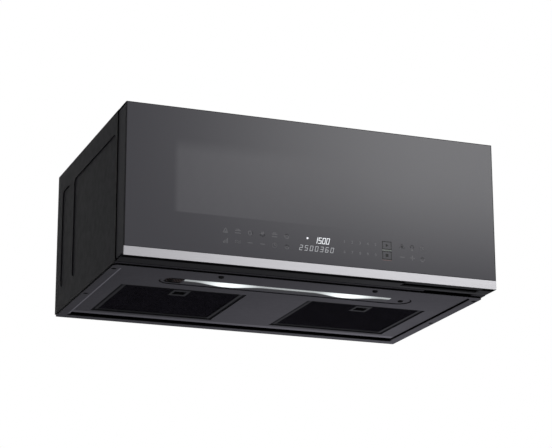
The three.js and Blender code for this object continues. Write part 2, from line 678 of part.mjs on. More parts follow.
// Lamp holder on the oven's left wall, its bulb facing the small holes.
function cavityLamp() {
  const wall = ovenLeft - SHEET - GAP;
  const { width, height, window_w: holeW, window_h: holeH, reach } = LAMP_HOLDER;
  const plate = block([wall - SHEET, wall], about(lampY, width), about(lampZ, height))
    .subtract(block([wall - SHEET - 1, wall + 1], about(lampY, holeW), about(lampZ, holeH)));
  const high = about(lampZ, LAMP_BRIDGE.height);
  const arms = block([wall - reach, wall], about(lampY, LAMP_BRIDGE.width), high)
    .subtract(block([wall - reach + LAMP_BRIDGE.cap, wall + 1],
      about(lampY, LAMP_BRIDGE.width - 2 * LAMP_BRIDGE.arm), grown(high, 1)));
  const bulbX = [wall - reach + LAMP_BRIDGE.cap / 2, wall - BULB.from_wall];
  return joined(plate, arms, rod('x', bulbX, BULB.radius, [lampY, lampZ], 12));
}

addPart(cabinet, 'cavity_lamp', cavityLamp(), 'whitePlastic');

// Turntable group: its origin is on the oven floor, on the turntable's axis.
const turntable = groupAt(cabinet, ovenMidX, ovenMidY, OVEN_FLOOR);
const axleZ = GAP + WHEEL_R;
const trayBottom = 2 * axleZ;
const motorTop = chassisBottom - OVEN_FLOOR - GAP;

function turntableMotor() {
  const can = rod('z', [motorTop - TURN_MOTOR_H, motorTop], TURN_MOTOR_R, [0, 0]);
  const earX = about(0, 2 * (TURN_MOTOR_R + MOTOR_EAR.reach));
  const ears = block(earX, about(0, MOTOR_EAR.width), [motorTop - MOTOR_EAR.thick, motorTop]);
  const socket = rod('z', [motorTop - SPINDLE_SEAT - 1, motorTop + 1], SPINDLE_R + GAP, [0, 0], 12);
  return joined(can, ears).subtract(socket);
}

// Three-lobed coupler on the motor's spindle.
function turntableCoupler() {
  const bottom = axleZ - COUPLER.below_axle;
  const top = trayBottom - GAP;
  const lobes = [];
  for (let i = 0; i < 3; i += 1) {
    const angle = (i * 2 * Math.PI) / 3 + Math.PI / 6;
    const r = COUPLER.radius - COUPLER.lobe_r;
    lobes.push(rod('z', [bottom, top], COUPLER.lobe_r, [r * Math.cos(angle), r * Math.sin(angle)], 12));
  }
  return joined(
    rod('z', [motorTop - SPINDLE_SEAT, top], SPINDLE_R, [0, 0], 12),
    rod('z', [bottom, top], COUPLER.boss_r, [0, 0], 16), ...lobes,
  );
}

function glassTray() {
  const profile = [
    [0, trayBottom], [trayR - 10, trayBottom], [trayR, trayBottom + TRAY_RIM_H - 1],
    [trayR - 1, trayBottom + TRAY_RIM_H], [trayR - TRAY_RIM_T, trayBottom + TRAY_RIM_H],
    [trayR - 12, trayBottom + TRAY_T], [0, trayBottom + TRAY_T],
  ];
  const geometry = new THREE.LatheGeometry(profile.map(([r, z]) => new THREE.Vector2(r, z)), 48);
  geometry.rotateX(Math.PI / 2);
  const keyR = COUPLER.radius + TRAY_KEY.clear;
  const keyZ = [trayBottom - TRAY_KEY.height, trayBottom + 1];
  const keyRing = tube('z', keyZ, keyR + TRAY_KEY.wall, keyR, [0, 0]);
  return joined(solidOf(geometry), keyRing);
}

// A flat ring with a stub axle for each wheel.
function rollerRing() {
  const ring = tube('z', about(axleZ, RING_H), RING_R, RING_R - RING_BAND, [0, 0], 36);
  const headEnd = WHEEL_TRACK_R + WHEEL_W / 2 + GAP;
  const axles = [];
  for (let i = 0; i < WHEELS; i += 1) {
    const bar = joined(
      rod('x', [RING_R - RING_BAND + 1, headEnd + AXLE_HEAD.length], AXLE_R, [0, axleZ], 12),
      rod('x', [headEnd, headEnd + AXLE_HEAD.length], AXLE_R + AXLE_HEAD.over, [0, axleZ], 12),
      rod('x', [RING_R - 1, WHEEL_TRACK_R - WHEEL_W / 2 - GAP], AXLE_R + AXLE_SHOULDER, [0, axleZ], 12),
    );
    axles.push(bar.rotate([0, 0, (i * 360) / WHEELS]));
  }
  return joined(ring, ...axles);
}

function rollerWheel() {
  return tube('x', about(WHEEL_TRACK_R, WHEEL_W), WHEEL_R, WHEEL_BORE, [0, axleZ], 20);
}

addPart(turntable, 'turntable_motor', turntableMotor(), 'galvanised');
addPart(turntable, 'turntable_coupler', turntableCoupler(), 'whitePlastic');
addPart(turntable, 'glass_tray', glassTray(), 'clearGlass');
addPart(turntable, 'roller_ring', rollerRing(), 'whitePlastic');
for (let i = 0; i < WHEELS; i += 1) {
  const wheel = addPart(turntable, `roller_wheel_${i + 1}`, rollerWheel(), 'whitePlastic');
  wheel.rotation.z = (i * 2 * Math.PI) / WHEELS;
}

// ---------------------------------------------------------------- microwave source

const guideY = [behindFrame + GUIDE.from_front, behindFrame + GUIDE.from_front + GUIDE.depth];
const guideRight = bayLeft + GUIDE.reach;
const magnetronY = about(guideY[1] - GUIDE.depth * 0.36, MAGNETRON.depth);
const magnetronMid = [(magnetronY[0] + magnetronY[1]) / 2, (guideZ[0] + guideZ[1]) / 2];

// Open towards the oven's wall, with a hole for the antenna.
function waveguide() {
  const duct = block([bayLeft, guideRight], guideY, guideZ)
    .subtract(block([bayLeft - 1, guideRight - SHEET], grown(guideY, -SHEET), grown(guideZ, -SHEET)));
  const antennaHole = rod('x', [guideRight - 3, guideRight + 1], MAGNETRON.antenna_r + 2, magnetronMid, 16);
  const flange = block(
    [bayLeft, bayLeft + SHEET], grown(guideY, GUIDE_FLANGE.sides), grown(guideZ, GUIDE_FLANGE.ends),
  )
    .subtract(block([bayLeft - 1, bayLeft + 2], grown(guideY, -SHEET), grown(guideZ, -SHEET)));
  return joined(duct, flange).subtract(antennaHole);
}

// Yoke with cooling fins round the anode, a filter box below and the antenna to the left.
function magnetron() {
  const left = guideRight + GAP;
  const right = left + MAGNETRON.length;
  const [midY, midZ] = magnetronMid;
  const high = about(midZ, MAGNETRON.height);
  const { plate } = MAGNETRON;
  const yoke = block([left, right], magnetronY, high)
    .subtract(block([left + plate, right - plate], grown(magnetronY, 1), grown(high, -plate)));
  const anode = rod('x', [left + plate / 2, right - plate / 2], MAGNETRON.anode_r, [midY, midZ], 20);
  const fins = [];
  for (let i = 0; i < FIN.count; i += 1) {
    const x = about(left + FIN.first + i * FIN.pitch, FIN.thick);
    fins.push(block(x, grown(magnetronY, -FIN.setback), grown(high, -plate / 2)));
  }
  const boxX = [right - plate / 2, right + FILTER_BOX.length];
  const filterBox = block(boxX, about(midY, FILTER_BOX.depth), about(midZ, FILTER_BOX.height));
  const antenna = rod('x', [left - MAGNETRON.antenna, left + plate], MAGNETRON.antenna_r, [midY, midZ], 16);
  return joined(yoke, anode, ...fins, filterBox, antenna);
}

addPart(cabinet, 'waveguide', waveguide(), 'galvanised');
addPart(cabinet, 'magnetron', magnetron(), 'aluminium');

// ---------------------------------------------------------------- high voltage and power

const coreMidX = halfCase - CORE.from_side;
const coreX = about(coreMidX, CORE.width);
const coreY = about(behindFrame + CORE.from_front, CORE.depth);
const coreZ = [onChassis, onChassis + CORE.height];
const legHalf = CORE.leg;
const windowWidth = (CORE.width - 4 * CORE.leg) / 2;
const windowX = [-1, 1].map((side) => about(coreMidX + side * (legHalf + windowWidth / 2), windowWidth));
const windowZ = [coreZ[0] + CORE.leg, coreZ[1] - CORE.leg];

function transformerCore() {
  const stack = block(coreX, coreY, coreZ);
  return without(stack, ...windowX.map((x) => block(x, grown(coreY, 1), windowZ)));
}

function transformerCoils() {
  const reach = legHalf + windowWidth - GAP;
  const z = grown(windowZ, -GAP);
  const outer = slab(
    rectangle(about(coreMidX, 2 * reach), grown(coreY, COIL_OVERHANG), COIL_R), 'z', z, 3,
  );
  return outer.subtract(block(about(coreMidX, 2 * (legHalf + GAP)), grown(coreY, GAP), grown(z, 1)));
}

function hvCapacitor() {
  const x = about(halfCase - CAPACITOR.from_side, CAPACITOR.length);
  const y = behindFrame + CAPACITOR.from_front;
  const mid = [y, onChassis + CAPACITOR.height / 2];
  const can = slab(
    stadium(mid[0], mid[1], CAPACITOR.width, CAPACITOR.height), 'x', x,
  );
  const terminals = [-1, 1].map((side) => block(
    [x[0] - TAG.length, x[0] + 1], about(y + side * TAG.spacing / 2, TAG.width), about(mid[1], TAG.thick),
  ));
  return joined(can, ...terminals);
}

// Board that stands by the right side, with its relays and chokes.
function powerBoard() {
  const x1 = caseInside - SIDE_FIELD.dent - POWER_BOARD.from_side;
  const x0 = x1 - BOARD_T;
  const y = [behindFrame + POWER_BOARD.from_front, behindFrame + POWER_BOARD.from_front + POWER_BOARD.length];
  const z = [onChassis, onChassis + POWER_BOARD.height];
  const standing = (depth) => [x0 - depth, x0 + BOARD_T / 2];
  const footZ = [z[0], z[0] + POWER_BOARD.foot_t];
  const pieces = [block([x0, x1], y, z), block([x0 - POWER_BOARD.foot, x1], y, footZ)];
  for (let i = 0; i < RELAY.count; i += 1) {
    const relayY = about(y[0] + RELAY.from_edge + i * RELAY.pitch, RELAY.width);
    pieces.push(block(standing(RELAY.depth), relayY, about(z[1] - RELAY.from_top, RELAY.height)));
  }
  for (let i = 0; i < CAN.count; i += 1) {
    const at = [y[0] + CAN.from_edge + i * CAN.pitch, z[0] + CAN.up];
    pieces.push(rod('x', standing(CAN.depth), CAN.radius, at, 12));
  }
  const coilAt = [y[1] - LINE_COIL.from_edge, z[1] - LINE_COIL.from_top];
  pieces.push(rod('x', standing(LINE_COIL.depth), LINE_COIL.radius, coilAt, 16));
  return joined(...pieces);
}

addPart(cabinet, 'transformer_core', transformerCore(), 'bareSteel');
addPart(cabinet, 'transformer_coils', transformerCoils(), 'copper');
addPart(cabinet, 'hv_capacitor', hvCapacitor(), 'aluminium');
addPart(cabinet, 'power_board', powerBoard(), 'circuit');

// ---------------------------------------------------------------- cooling fan

// Local origin: on the fan's axis, at the front of the blades.
const coolingFan = groupAt(cabinet, halfCase - FAN.from_side, -FAN.from_wall, OVEN_FLOOR + FAN.up);
const fanMotorFront = FAN.width + FAN_MOTOR.behind;
const fanMotorY = [fanMotorFront, fanMotorFront + FAN_MOTOR.depth];

// Plate with a throat, a foot on the chassis and two arms that carry the motor.
function fanShroud() {
  const half = SHROUD.size / 2;
  const floor = onChassis - OVEN_FLOOR - FAN.up;
  const throat = FAN.radius + SHROUD.throat_clear;
  const face = -SHROUD.lead;
  const ringY = [face, face + SHROUD.throat];
  const plate = block([-half, half], [face, face + SHEET], [floor, half]);
  const foot = block([-half, half], [face, face + SHROUD.foot], [floor, floor + SHEET]);
  const ring = rod('y', ringY, throat + SHEET, [0, 0], 32);
  const armY = [face, fanMotorY[0] - GAP];
  const armX = throat + SHEET + SHROUD.arm / 2;
  const arms = [-1, 1].map((side) => block(about(side * armX, SHROUD.arm), armY, about(0, SHROUD.arm_w)));
  const bar = block(about(0, 2 * armX + SHROUD.arm), [armY[1] - 2 * SHEET, armY[1]], about(0, SHROUD.arm_w));
  const bore = rod('y', grown(ringY, 1), throat, [0, 0], 32);
  const shaftHole = rod('y', grown(armY, 1), FAN_MOTOR.shaft_r + 1.5, [0, 0], 12);
  return without(joined(without(joined(plate, ring, ...arms), bore), foot, bar), shaftHole);
}

function coolingMotor() {
  const frame = block(about(0, FAN_MOTOR.width), fanMotorY, about(0, FAN_MOTOR.height));
  const top = FAN_MOTOR.height / 2;
  const coilZ = [top - FAN_COIL.overlap, top - FAN_COIL.overlap + FAN_COIL.height];
  const coil = block(about(0, FAN_COIL.width), grown(fanMotorY, FAN_COIL.overhang), coilZ);
  const bore = rod('y', grown(fanMotorY, 1), FAN_MOTOR.bore, [0, 0], 12);
  return joined(frame, coil).subtract(bore);
}

function fanBlades() {
  const hub = rod('y', [0, FAN.width], FAN.hub_r, [0, 0], 20);
  const shaft = rod('y', [FAN.width - 2, fanMotorY[1] - FAN_MOTOR.shaft_r], FAN_MOTOR.shaft_r, [0, 0], 12);
  const blades = [];
  for (let i = 0; i < FAN.blades; i += 1) {
    const blade = block([FAN.hub_r / 2, FAN.radius], about(0, BLADE.thick), about(0, BLADE.chord))
      .rotate([BLADE.pitch_deg, 0, 0])
      .translate([0, FAN.width / 2, 0])
      .rotate([0, (i * 360) / FAN.blades, 0]);
    blades.push(blade);
  }
  return joined(hub, shaft, ...blades);
}

addPart(coolingFan, 'fan_shroud', fanShroud(), 'galvanised');
addPart(coolingFan, 'cooling_motor', coolingMotor(), 'bareSteel');
addPart(coolingFan, 'cooling_fan', fanBlades(), 'whitePlastic');

// ---------------------------------------------------------------- exhaust blower

// Local origin: on the blower's axis, at mid width.
const blower = groupAt(cabinet, 0, -BLOWER_FROM_WALL, CASE_H - BLOWER_FROM_TOP);
const scrollInner = BLOWER_MOTOR_HALF + SCROLL_FROM_MOTOR; // motor side of each scroll
const scrollTop = BLOWER_FROM_TOP - COLLAR_H - GAP;
const scrollX = [-1, 1].map((side) => about(side * (scrollInner + SCROLL_W / 2), SCROLL_W));
const shaftEnd = scrollInner + SCROLL_W / 2 + IMPELLER_W / 2 - 2;

// Two hollow scrolls that blow up into the collar, a cradle for the motor and a rear mounting strip.
function blowerHousing() {
  const wallFace = BLOWER_FROM_WALL + beforeRearPanel;
  const outlet = [-DUCT_D / 2, SCROLL_OUTLET_D - DUCT_D / 2];
  const reach = scrollInner + SCROLL_W;
  const cradleTop = -BLOWER_MOTOR_R - GAP;
  let housing = joined(
    ...scrollX.map((x) => joined(
      rod('x', x, SCROLL_R, [0, 0], 32),
      block(x, outlet, [0, scrollTop]),
      block(x, [SCROLL_R - MOUNT_STRIP.arm, wallFace], about(0, MOUNT_STRIP.arm)),
    )),
    block([-reach, reach], [wallFace - MOUNT_STRIP.thick, wallFace], [-MOUNT_STRIP.down, MOUNT_STRIP.up]),
    block(about(0, 2 * (scrollInner + SCROLL_WALL)), about(0, 2 * CRADLE.half),
      [cradleTop - CRADLE.thick, cradleTop]),
  );
  for (const x of scrollX) {
    const inside = grown(x, -SCROLL_WALL);
    housing = without(
      housing,
      rod('x', inside, SCROLL_R - SCROLL_WALL, [0, 0], 32),
      block(inside, grown(outlet, -SCROLL_WALL), [0, scrollTop + 1]),
    );
  }
  const inlets = rod('x', about(0, 2 * reach + 2), SCROLL_INLET_R, [0, 0])
    .subtract(rod('x', about(0, 2 * (reach - 2 * SCROLL_WALL)), SCROLL_INLET_R + 1, [0, 0]));
  const shaftSpan = about(0, 2 * (scrollInner + 2 * SCROLL_WALL));
  const shaftHoles = rod('x', shaftSpan, BLOWER_SHAFT_R + SHAFT_CLEAR, [0, 0], 16);
  return without(housing, inlets, shaftHoles);
}

function blowerMotor() {
  const body = rod('x', about(0, 2 * BLOWER_MOTOR_HALF), BLOWER_MOTOR_R, [0, 0], 28);
  const length = 2 * (BLOWER_MOTOR_HALF + BLOWER_BOSS.length);
  const bosses = rod('x', about(0, length), BLOWER_BOSS.radius, [0, 0], 16);
  const bore = rod('x', about(0, length + 2), BLOWER_SHAFT_R + GAP, [0, 0], 16);
  return joined(body, bosses).subtract(bore);
}

function blowerShaft() {
  return rod('x', [-shaftEnd, shaftEnd], BLOWER_SHAFT_R, [0, 0], 16);
}

// Squirrel cage: a disc and hub on the motor's side, vanes, and a ring at the inlet.
function impeller(side) {
  const inner = scrollInner + (SCROLL_W - IMPELLER_W) / 2;
  const span = (from, to) => [side * (inner + from), side * (inner + to)].sort((a, b) => a - b);
  const disc = rod('x', span(0, 2), IMPELLER_R, [0, 0], 30);
  const hub = rod('x', span(0, IMPELLER_W - VANE.ring), BLOWER_SHAFT_R + 4, [0, 0], 16);
  const ringX = span(IMPELLER_W - VANE.ring_w, IMPELLER_W);
  const ring = tube('x', ringX, IMPELLER_R, IMPELLER_R - VANE.ring, [0, 0], 30);
  const vanes = [];
  for (let i = 0; i < IMPELLER_VANES; i += 1) {
    const vane = block(span(1, IMPELLER_W - 1), about(0, VANE.chord), about(0, VANE.thick))
      .rotate([VANE.angle_deg, 0, 0])
      .translate([0, IMPELLER_R - (VANE.ring + 1.2) / 2, 0])
      .rotate([(i * 360) / IMPELLER_VANES, 0, 0]);
    vanes.push(vane);
  }
  const bore = rod('x', span(-2, IMPELLER_W + 2), BLOWER_SHAFT_R + GAP, [0, 0], 16);
  return joined(disc, hub, ring, ...vanes).subtract(bore);
}

addPart(blower, 'blower_housing', blowerHousing(), 'galvanised');
addPart(blower, 'blower_motor', blowerMotor(), 'bareSteel');
addPart(blower, 'blower_shaft', blowerShaft(), 'bareSteel');
addPart(blower, 'impeller_left', impeller(-1), 'whitePlastic');
addPart(blower, 'impeller_right', impeller(1), 'whitePlastic');

// ---------------------------------------------------------------- exhaust collar and damper

// Local origin: the middle of the collar's mouth, level with the top of the cabinet.
const exhaust = groupAt(cabinet, 0, collarMidY, CASE_H);
const flapAxle = [DUCT_D / 2 - COLLAR_WALL - FLAP_AXLE_R - 2, -COLLAR_H + FLAP_AXLE_R + 1];
const flapInside = DUCT_W / 2 - COLLAR_WALL;

function exhaustCollar() {
  const sized = (grow, z) => block(grown(about(0, DUCT_W), grow), grown(about(0, DUCT_D), grow), z);
  const flange = sized(COLLAR_FLANGE, [-2 * SHEET - GAP, -SHEET - GAP]);
  const bore = sized(-COLLAR_WALL, [-COLLAR_H - 1, 1]);
  const outer = sized(0, [-COLLAR_H, 0]);
  const axleHoles = rod('x', about(0, DUCT_W + 2), FLAP_AXLE_R + GAP, flapAxle, 12);
  return without(joined(outer, flange), bore, axleHoles);
}

// Flap on an axle near the rear wall, closed when it lies flat.
function damperFlap() {
  const [axleY, axleZ0] = flapAxle;
  const leafX = about(0, 2 * (flapInside - FLAP_EDGE_CLEAR));
  const frontEdge = -DUCT_D / 2 + COLLAR_WALL + FLAP_EDGE_CLEAR;
  const leaf = block(leafX, [frontEdge, axleY], about(axleZ0, FLAP_T));
  const axle = rod('x', about(0, DUCT_W - 0.4), FLAP_AXLE_R, flapAxle, 12);
  return joined(leaf, axle);
}

addPart(exhaust, 'exhaust_collar', exhaustCollar(), 'galvanised');
addPart(exhaust, 'damper_flap', damperFlap(), 'aluminium');

// ---------------------------------------------------------------- top front outlet, grommet

const grilleFlangeTop = caseTopInside - GAP;

function ventGrille() {
  const body = block(about(0, grilleW - 2 * GAP), grown(grilleY, -GAP), [grilleFlangeTop - 1, CASE_H]);
  const flange = block(about(0, grilleW + 2 * GRILLE.flange), grown(grilleY, GRILLE.flange),
    [grilleFlangeTop - 1, grilleFlangeTop]);
  const pitch = (grilleW - 2 * GRILLE.flange) / GRILLE.bars;
  const through = [grilleFlangeTop - 2, CASE_H + 1];
  const slots = [];
  for (let i = 0; i < GRILLE.bars; i += 1) {
    const x = (i - (GRILLE.bars - 1) / 2) * pitch;
    slots.push(block(about(x, pitch * GRILLE.open), grown(grilleY, -GRILLE.border), through));
  }
  return without(joined(body, flange), ...slots);
}

function charcoalFilter() {
  const top = ovenRoof + GAP + CHARCOAL.height;
  const [x, y] = [about(0, grilleW - CHARCOAL.narrower), grown(grilleY, CHARCOAL.lap)];
  const bed = block(grown(x, -CHARCOAL.rim), grown(y, -CHARCOAL.rim), [top - CHARCOAL.recess, top + 1]);
  return block(x, y, [ovenRoof + GAP, top]).subtract(bed);
}

function cordGrommet() {
  const z = [caseTopInside - GROMMET.flange_h - GAP, CASE_H + GROMMET.flange_h + GAP];
  const profile = joined(
    rod('z', z, GROMMET.neck_r, grommetAt),
    rod('z', [z[0], caseTopInside - GAP], GROMMET.outer_r, grommetAt),
    rod('z', [CASE_H + GAP, z[1]], GROMMET.outer_r, grommetAt),
  );
  return profile.subtract(rod('z', grown(z, 1), GROMMET.bore_r, grommetAt));
}

addPart(cabinet, 'vent_grille', ventGrille(), 'blackPlastic');
addPart(cabinet, 'charcoal_filter', charcoalFilter(), 'charcoal');
addPart(cabinet, 'cord_grommet', cordGrommet(), 'rubber');

// ---------------------------------------------------------------- door

// Local origin: mid width, at the door's back face and lower edge.
const door = groupAt(cabinet, 0, doorBack, DOOR_BOTTOM);
const frameFront = -DOOR_T + GLASS_T + GAP;
const webBack = frameFront + WEB_T;
const beforeCover = -COVER_T - GAP;
const mouthX = [ovenLeft, ovenRight];
const mouthZ = [OVEN_FLOOR - DOOR_BOTTOM, ovenTop - DOOR_BOTTOM];
const windowX0 = grown(mouthX, -WINDOW_INSET.sides);
const windowZ0 = [mouthZ[0] + WINDOW_INSET.bottom, mouthZ[1] - WINDOW_INSET.top];
const touchX = [-halfDoor + TOUCH.from_left, halfDoor - TOUCH.from_right];
const touchZ = about(TOUCH.centre_z, TOUCH.height);
const chokeGrow = CHOKE_LAP + CHOKE_CHANNEL;
const chokeFront = beforeCover - CHOKE_DEPTH;
const paneX = grown(mouthX, CHOKE_LAP - PANE_INSET);
const paneZ = grown(mouthZ, CHOKE_LAP - PANE_INSET);
const hingeY = -HINGE_FROM_BACK;
const recessH = TAB_CLEAR + TAB_T + 1.1;
const cornerH = recessH + BUSH_LENGTH + 4;
const hookZ = hookHeights.map((height) => height - DOOR_BOTTOM);
const barZ = [hookZ[0] - LATCH_BAR.end, hookZ[1] + LATCH_BAR.end];
const barY = [-LATCH_BAR.setback, beforeCover];
const springZ = [barZ[1] + GAP, barZ[1] + GAP + SPRING.length];

function atBothEnds(zFromEnd) {
  return [zFromEnd, zFromEnd.map((z) => doorH - z).reverse()];
}

function hingeRecesses() {
  return atBothEnds([-1, recessH]).map((z) => block(
    [-halfDoor - 1, hingeX + TAB_HALF + 1.5], [hingeY - TAB_HALF - 2.5, 1], z,
  ));
}

// Plastic tray behind the glass, with the finger pocket, hinge corners and latch guides.
function doorFrame() {
  const shell = block([-halfDoor, halfDoor], [frameFront, 0], [0, doorH])
    .subtract(block(
      [-halfDoor + DOOR_WALL, halfDoor - DOOR_WALL], [webBack, 1], [DOOR_WALL, doorH - DOOR_WALL],
    ));
  const sill = block([-halfDoor, halfDoor], [-DOOR_T + TRIM_T + GAP, frameFront + 1], [0, TRIM_H - GAP]);
  const pocketY = [-POCKET.from_back - POCKET.depth, -POCKET.from_back];
  const pocketX = about(halfDoor - POCKET.from_edge, POCKET.width);
  const pocketBox = block(
    grown(pocketX, POCKET.wall), grown(pocketY, POCKET.wall), [0, POCKET.height + POCKET.wall],
  );
  const corners = atBothEnds([0, cornerH]).map((z) => block(
    [-halfDoor, hingeX + BUSH_R + 8], [frameFront, beforeCover], z,
  ));
  const guides = grown(barZ, -LATCH_GUIDE.inset).map((z) => block(
    about(latchX, LATCH_BAR.width + 2 * (GAP + LATCH_GUIDE.wall)), [webBack - 1, barY[1]],
    about(z, LATCH_GUIDE.height),
  ));
  const shelfZ = [springZ[1] + GAP, springZ[1] + GAP + LATCH_GUIDE.shelf_t];
  const springShelf = block(about(latchX, LATCH_GUIDE.shelf_w), [webBack - 1, barY[1]], shelfZ);
  const body = joined(shell, sill, pocketBox, ...corners, ...guides, springShelf);

  const web = grown([frameFront, webBack], 1);
  const windowHole = block(windowX0, web, windowZ0);
  const touchHole = block(grown(touchX, GAP), web, grown(touchZ, GAP));
  const pocket = block(pocketX, pocketY, [-1, POCKET.height]);
  const barX = about(latchX, LATCH_BAR.width + 2 * GAP);
  const barPath = block(barX, [barY[0] - GAP, 1], [barZ[0] - 2, springZ[1]]);
  const bushHoles = atBothEnds([0, cornerH + 1]).map((z) => rod('z', z, BUSH_R + GAP, [hingeX, hingeY], 16));
  return without(body, windowHole, touchHole, pocket, barPath, ...bushHoles, ...hingeRecesses());
}

function doorGlass() {
  return block([-halfDoor, halfDoor], [-DOOR_T, -DOOR_T + GLASS_T], [TRIM_H, doorH]);
}

function steelTrim() {
  return block([-halfDoor, halfDoor], [-DOOR_T, -DOOR_T + TRIM_T], [0, TRIM_H - GAP]);
}

// Steel panel with a folded channel that keeps microwaves in; the screen is its thin middle.
function doorChoke() {
  const outerX = grown(mouthX, chokeGrow);
  const outerZ = grown(mouthZ, chokeGrow);
  const innerX = grown(mouthX, CHOKE_LAP);
  const innerZ = grown(mouthZ, CHOKE_LAP);
  const body = block(outerX, [chokeFront, beforeCover], outerZ);
  const channel = block(grown(outerX, -SHEET), [chokeFront + SHEET, 1], grown(outerZ, -SHEET))
    .subtract(block(innerX, [chokeFront, 2], innerZ));
  const dish = block(grown(innerX, -SHEET), [chokeFront - 1, beforeCover - SHEET], grown(innerZ, -SHEET));
  const screen = block(windowX0, [chokeFront, beforeCover - 0.4], windowZ0);
  return without(body, channel, dish, screen);
}

// Rear cover of the door, with the opening for the pane and slots for the hooks.
function chokeCover() {
  const inside = DOOR_WALL + GAP;
  const plate = block([-halfDoor + inside, halfDoor - inside], [-COVER_T, 0], [inside, doorH - inside]);
  const paneHole = block(grown(paneX, GAP), [-COVER_T - 1, 1], grown(paneZ, GAP));
  const slots = hookHeights.map((height) => block(
    hookSlotX, [-COVER_T - 1, 1], hookSlotZ(height).map((z) => z - DOOR_BOTTOM),
  ));
  return without(plate, paneHole, ...slots, ...hingeRecesses());
}

function innerWindow() {
  return block(paneX, [beforeCover + GAP, beforeCover + GAP + PANE_T], paneZ);
}

function hingeBush() {
  return tube('z', [0, BUSH_LENGTH], BUSH_R, PIN_R + GAP, [hingeX, hingeY], 16);
}

// Touch and display board, behind the glass.
function touchBoard() {
  const boardFront = -DOOR_T + GLASS_T + GAP;
  const board = block(touchX, [boardFront, boardFront + BOARD_T], touchZ);
  const display = block(
    about(DISPLAY.x, DISPLAY.width), [boardFront + 0.5, boardFront + DISPLAY.depth],
    about(TOUCH.centre_z, DISPLAY.height),
  );
  return joined(board, display);
}

// Upright bar that carries both hooks.
function latchHooks() {
  const bar = block(about(latchX, LATCH_BAR.width), barY, barZ);
  const hooks = hookZ.map((z) => {
    const arm = new THREE.Shape();
    arm.moveTo(beforeCover - 1, z - HOOK.height / 2 + 4);
    arm.lineTo(HOOK.reach - HOOK.nose_length, z - HOOK.height / 2);
    arm.lineTo(HOOK.reach - HOOK.nose_length, z - HOOK.height / 2 - HOOK.nose);
    arm.lineTo(HOOK.reach - 2, z - HOOK.height / 2 - HOOK.nose);
    arm.lineTo(HOOK.reach, z - HOOK.height / 2);
    arm.lineTo(HOOK.reach, z + HOOK.height / 2);
    arm.lineTo(beforeCover - 1, z + HOOK.height / 2);
    return slab(arm, 'x', about(latchX, HOOK.thick));
  });
  return joined(bar, ...hooks);
}

// Coil between the bar and the shelf above it: an open tube of round wire, closed at both ends.
function latchSpring() {
  const stepsPerTurn = 8;
  const sides = 5;
  const rows = SPRING.turns * stepsPerTurn;
  const climb = SPRING.length - 2 * GAP - 2 * SPRING.wire;
  const positions = [];
  const faces = [];
  for (let row = 0; row <= rows; row += 1) {
    const turn = (2 * Math.PI * row) / stepsPerTurn;
    const z = springZ[0] + GAP + SPRING.wire + (climb * row) / rows;
    for (let side = 0; side < sides; side += 1) {
      const around = (2 * Math.PI * side) / sides;
      const r = SPRING.radius + SPRING.wire * Math.cos(around);
      positions.push(r * Math.cos(turn), r * Math.sin(turn), z + SPRING.wire * Math.sin(around));
    }
  }
  for (let row = 0; row < rows; row += 1) {
    for (let side = 0; side < sides; side += 1) {
      const a = row * sides + side;
      const b = row * sides + ((side + 1) % sides);
      faces.push(a, a + sides, b, b, a + sides, b + sides);
    }
  }
  const last = rows * sides;
  for (let side = 1; side < sides - 1; side += 1) {
    faces.push(0, side, side + 1, last, last + side + 1, last + side);
  }
  const geometry = new THREE.BufferGeometry();
  geometry.setAttribute('position', new THREE.Float32BufferAttribute(positions, 3));
  geometry.setIndex(faces);
  geometry.translate(latchX, (barY[0] + barY[1]) / 2, 0);
  return solidOf(geometry);
}

addPart(door, 'door_glass', doorGlass(), 'darkGlass');
addPart(door, 'steel_trim', steelTrim(), 'brushedSteel');
addPart(door, 'door_frame', doorFrame(), 'blackPlastic');
addPart(door, 'door_choke', doorChoke(), 'ovenPaint');
addPart(door, 'choke_cover', chokeCover(), 'blackPlastic');
addPart(door, 'inner_window', innerWindow(), 'clearGlass');
const bushBottom = addPart(door, 'hinge_bush_bottom', hingeBush(), 'whitePlastic');
const bushTop = addPart(door, 'hinge_bush_top', hingeBush(), 'whitePlastic');
bushBottom.position.z = recessH + GAP;
bushTop.position.z = doorH - recessH - GAP - BUSH_LENGTH;
addPart(door, 'touch_board', touchBoard(), 'circuit');
addPart(door, 'latch_hooks', latchHooks(), 'whitePlastic');
addPart(door, 'latch_spring', latchSpring(), 'bareSteel');

// ---------------------------------------------------------------- hinge brackets

// Leg behind the front frame, tab through its slot, pin into the door.
function hingeBracket(atTop) {
  const [low, high] = atTop ? hingeTabZ[1] : hingeTabZ[0];
  const pinY = doorBack + hingeY;
  const legZ = atTop ? [high - BRACKET_LEG, high] : [low, low + BRACKET_LEG];
  const pinZ = atTop ? [low - PIN_LENGTH, low + 1] : [high - 1, high + PIN_LENGTH];
  const tab = slab(
    rectangle(about(hingeX, 2 * TAB_HALF), [pinY - TAB_HALF, behindFrame + BRACKET_LEG_T],
      [TAB_HALF - 0.01, TAB_HALF - 0.01, 0, 0]),
    'z', [low, high],
  );
  const leg = block(about(hingeX, 2 * TAB_HALF), [behindFrame, behindFrame + BRACKET_LEG_T], legZ);
  return joined(tab, leg, rod('z', pinZ, PIN_R, [hingeX, pinY], 16));
}

addPart(cabinet, 'hinge_bracket_bottom', hingeBracket(false), 'bareSteel');
addPart(cabinet, 'hinge_bracket_top', hingeBracket(true), 'bareSteel');

// ---------------------------------------------------------------- latch board and interlock

const hookTip = doorBack + HOOK.reach;
const plungerTip = hookTip + GAP;
const switchFront = plungerTip + PLUNGER.reach;
const switchRight = latchX + LATCH_BOARD.right - LATCH_BOARD.web - GAP;
const switchX = [switchRight - SWITCH.length, switchRight];

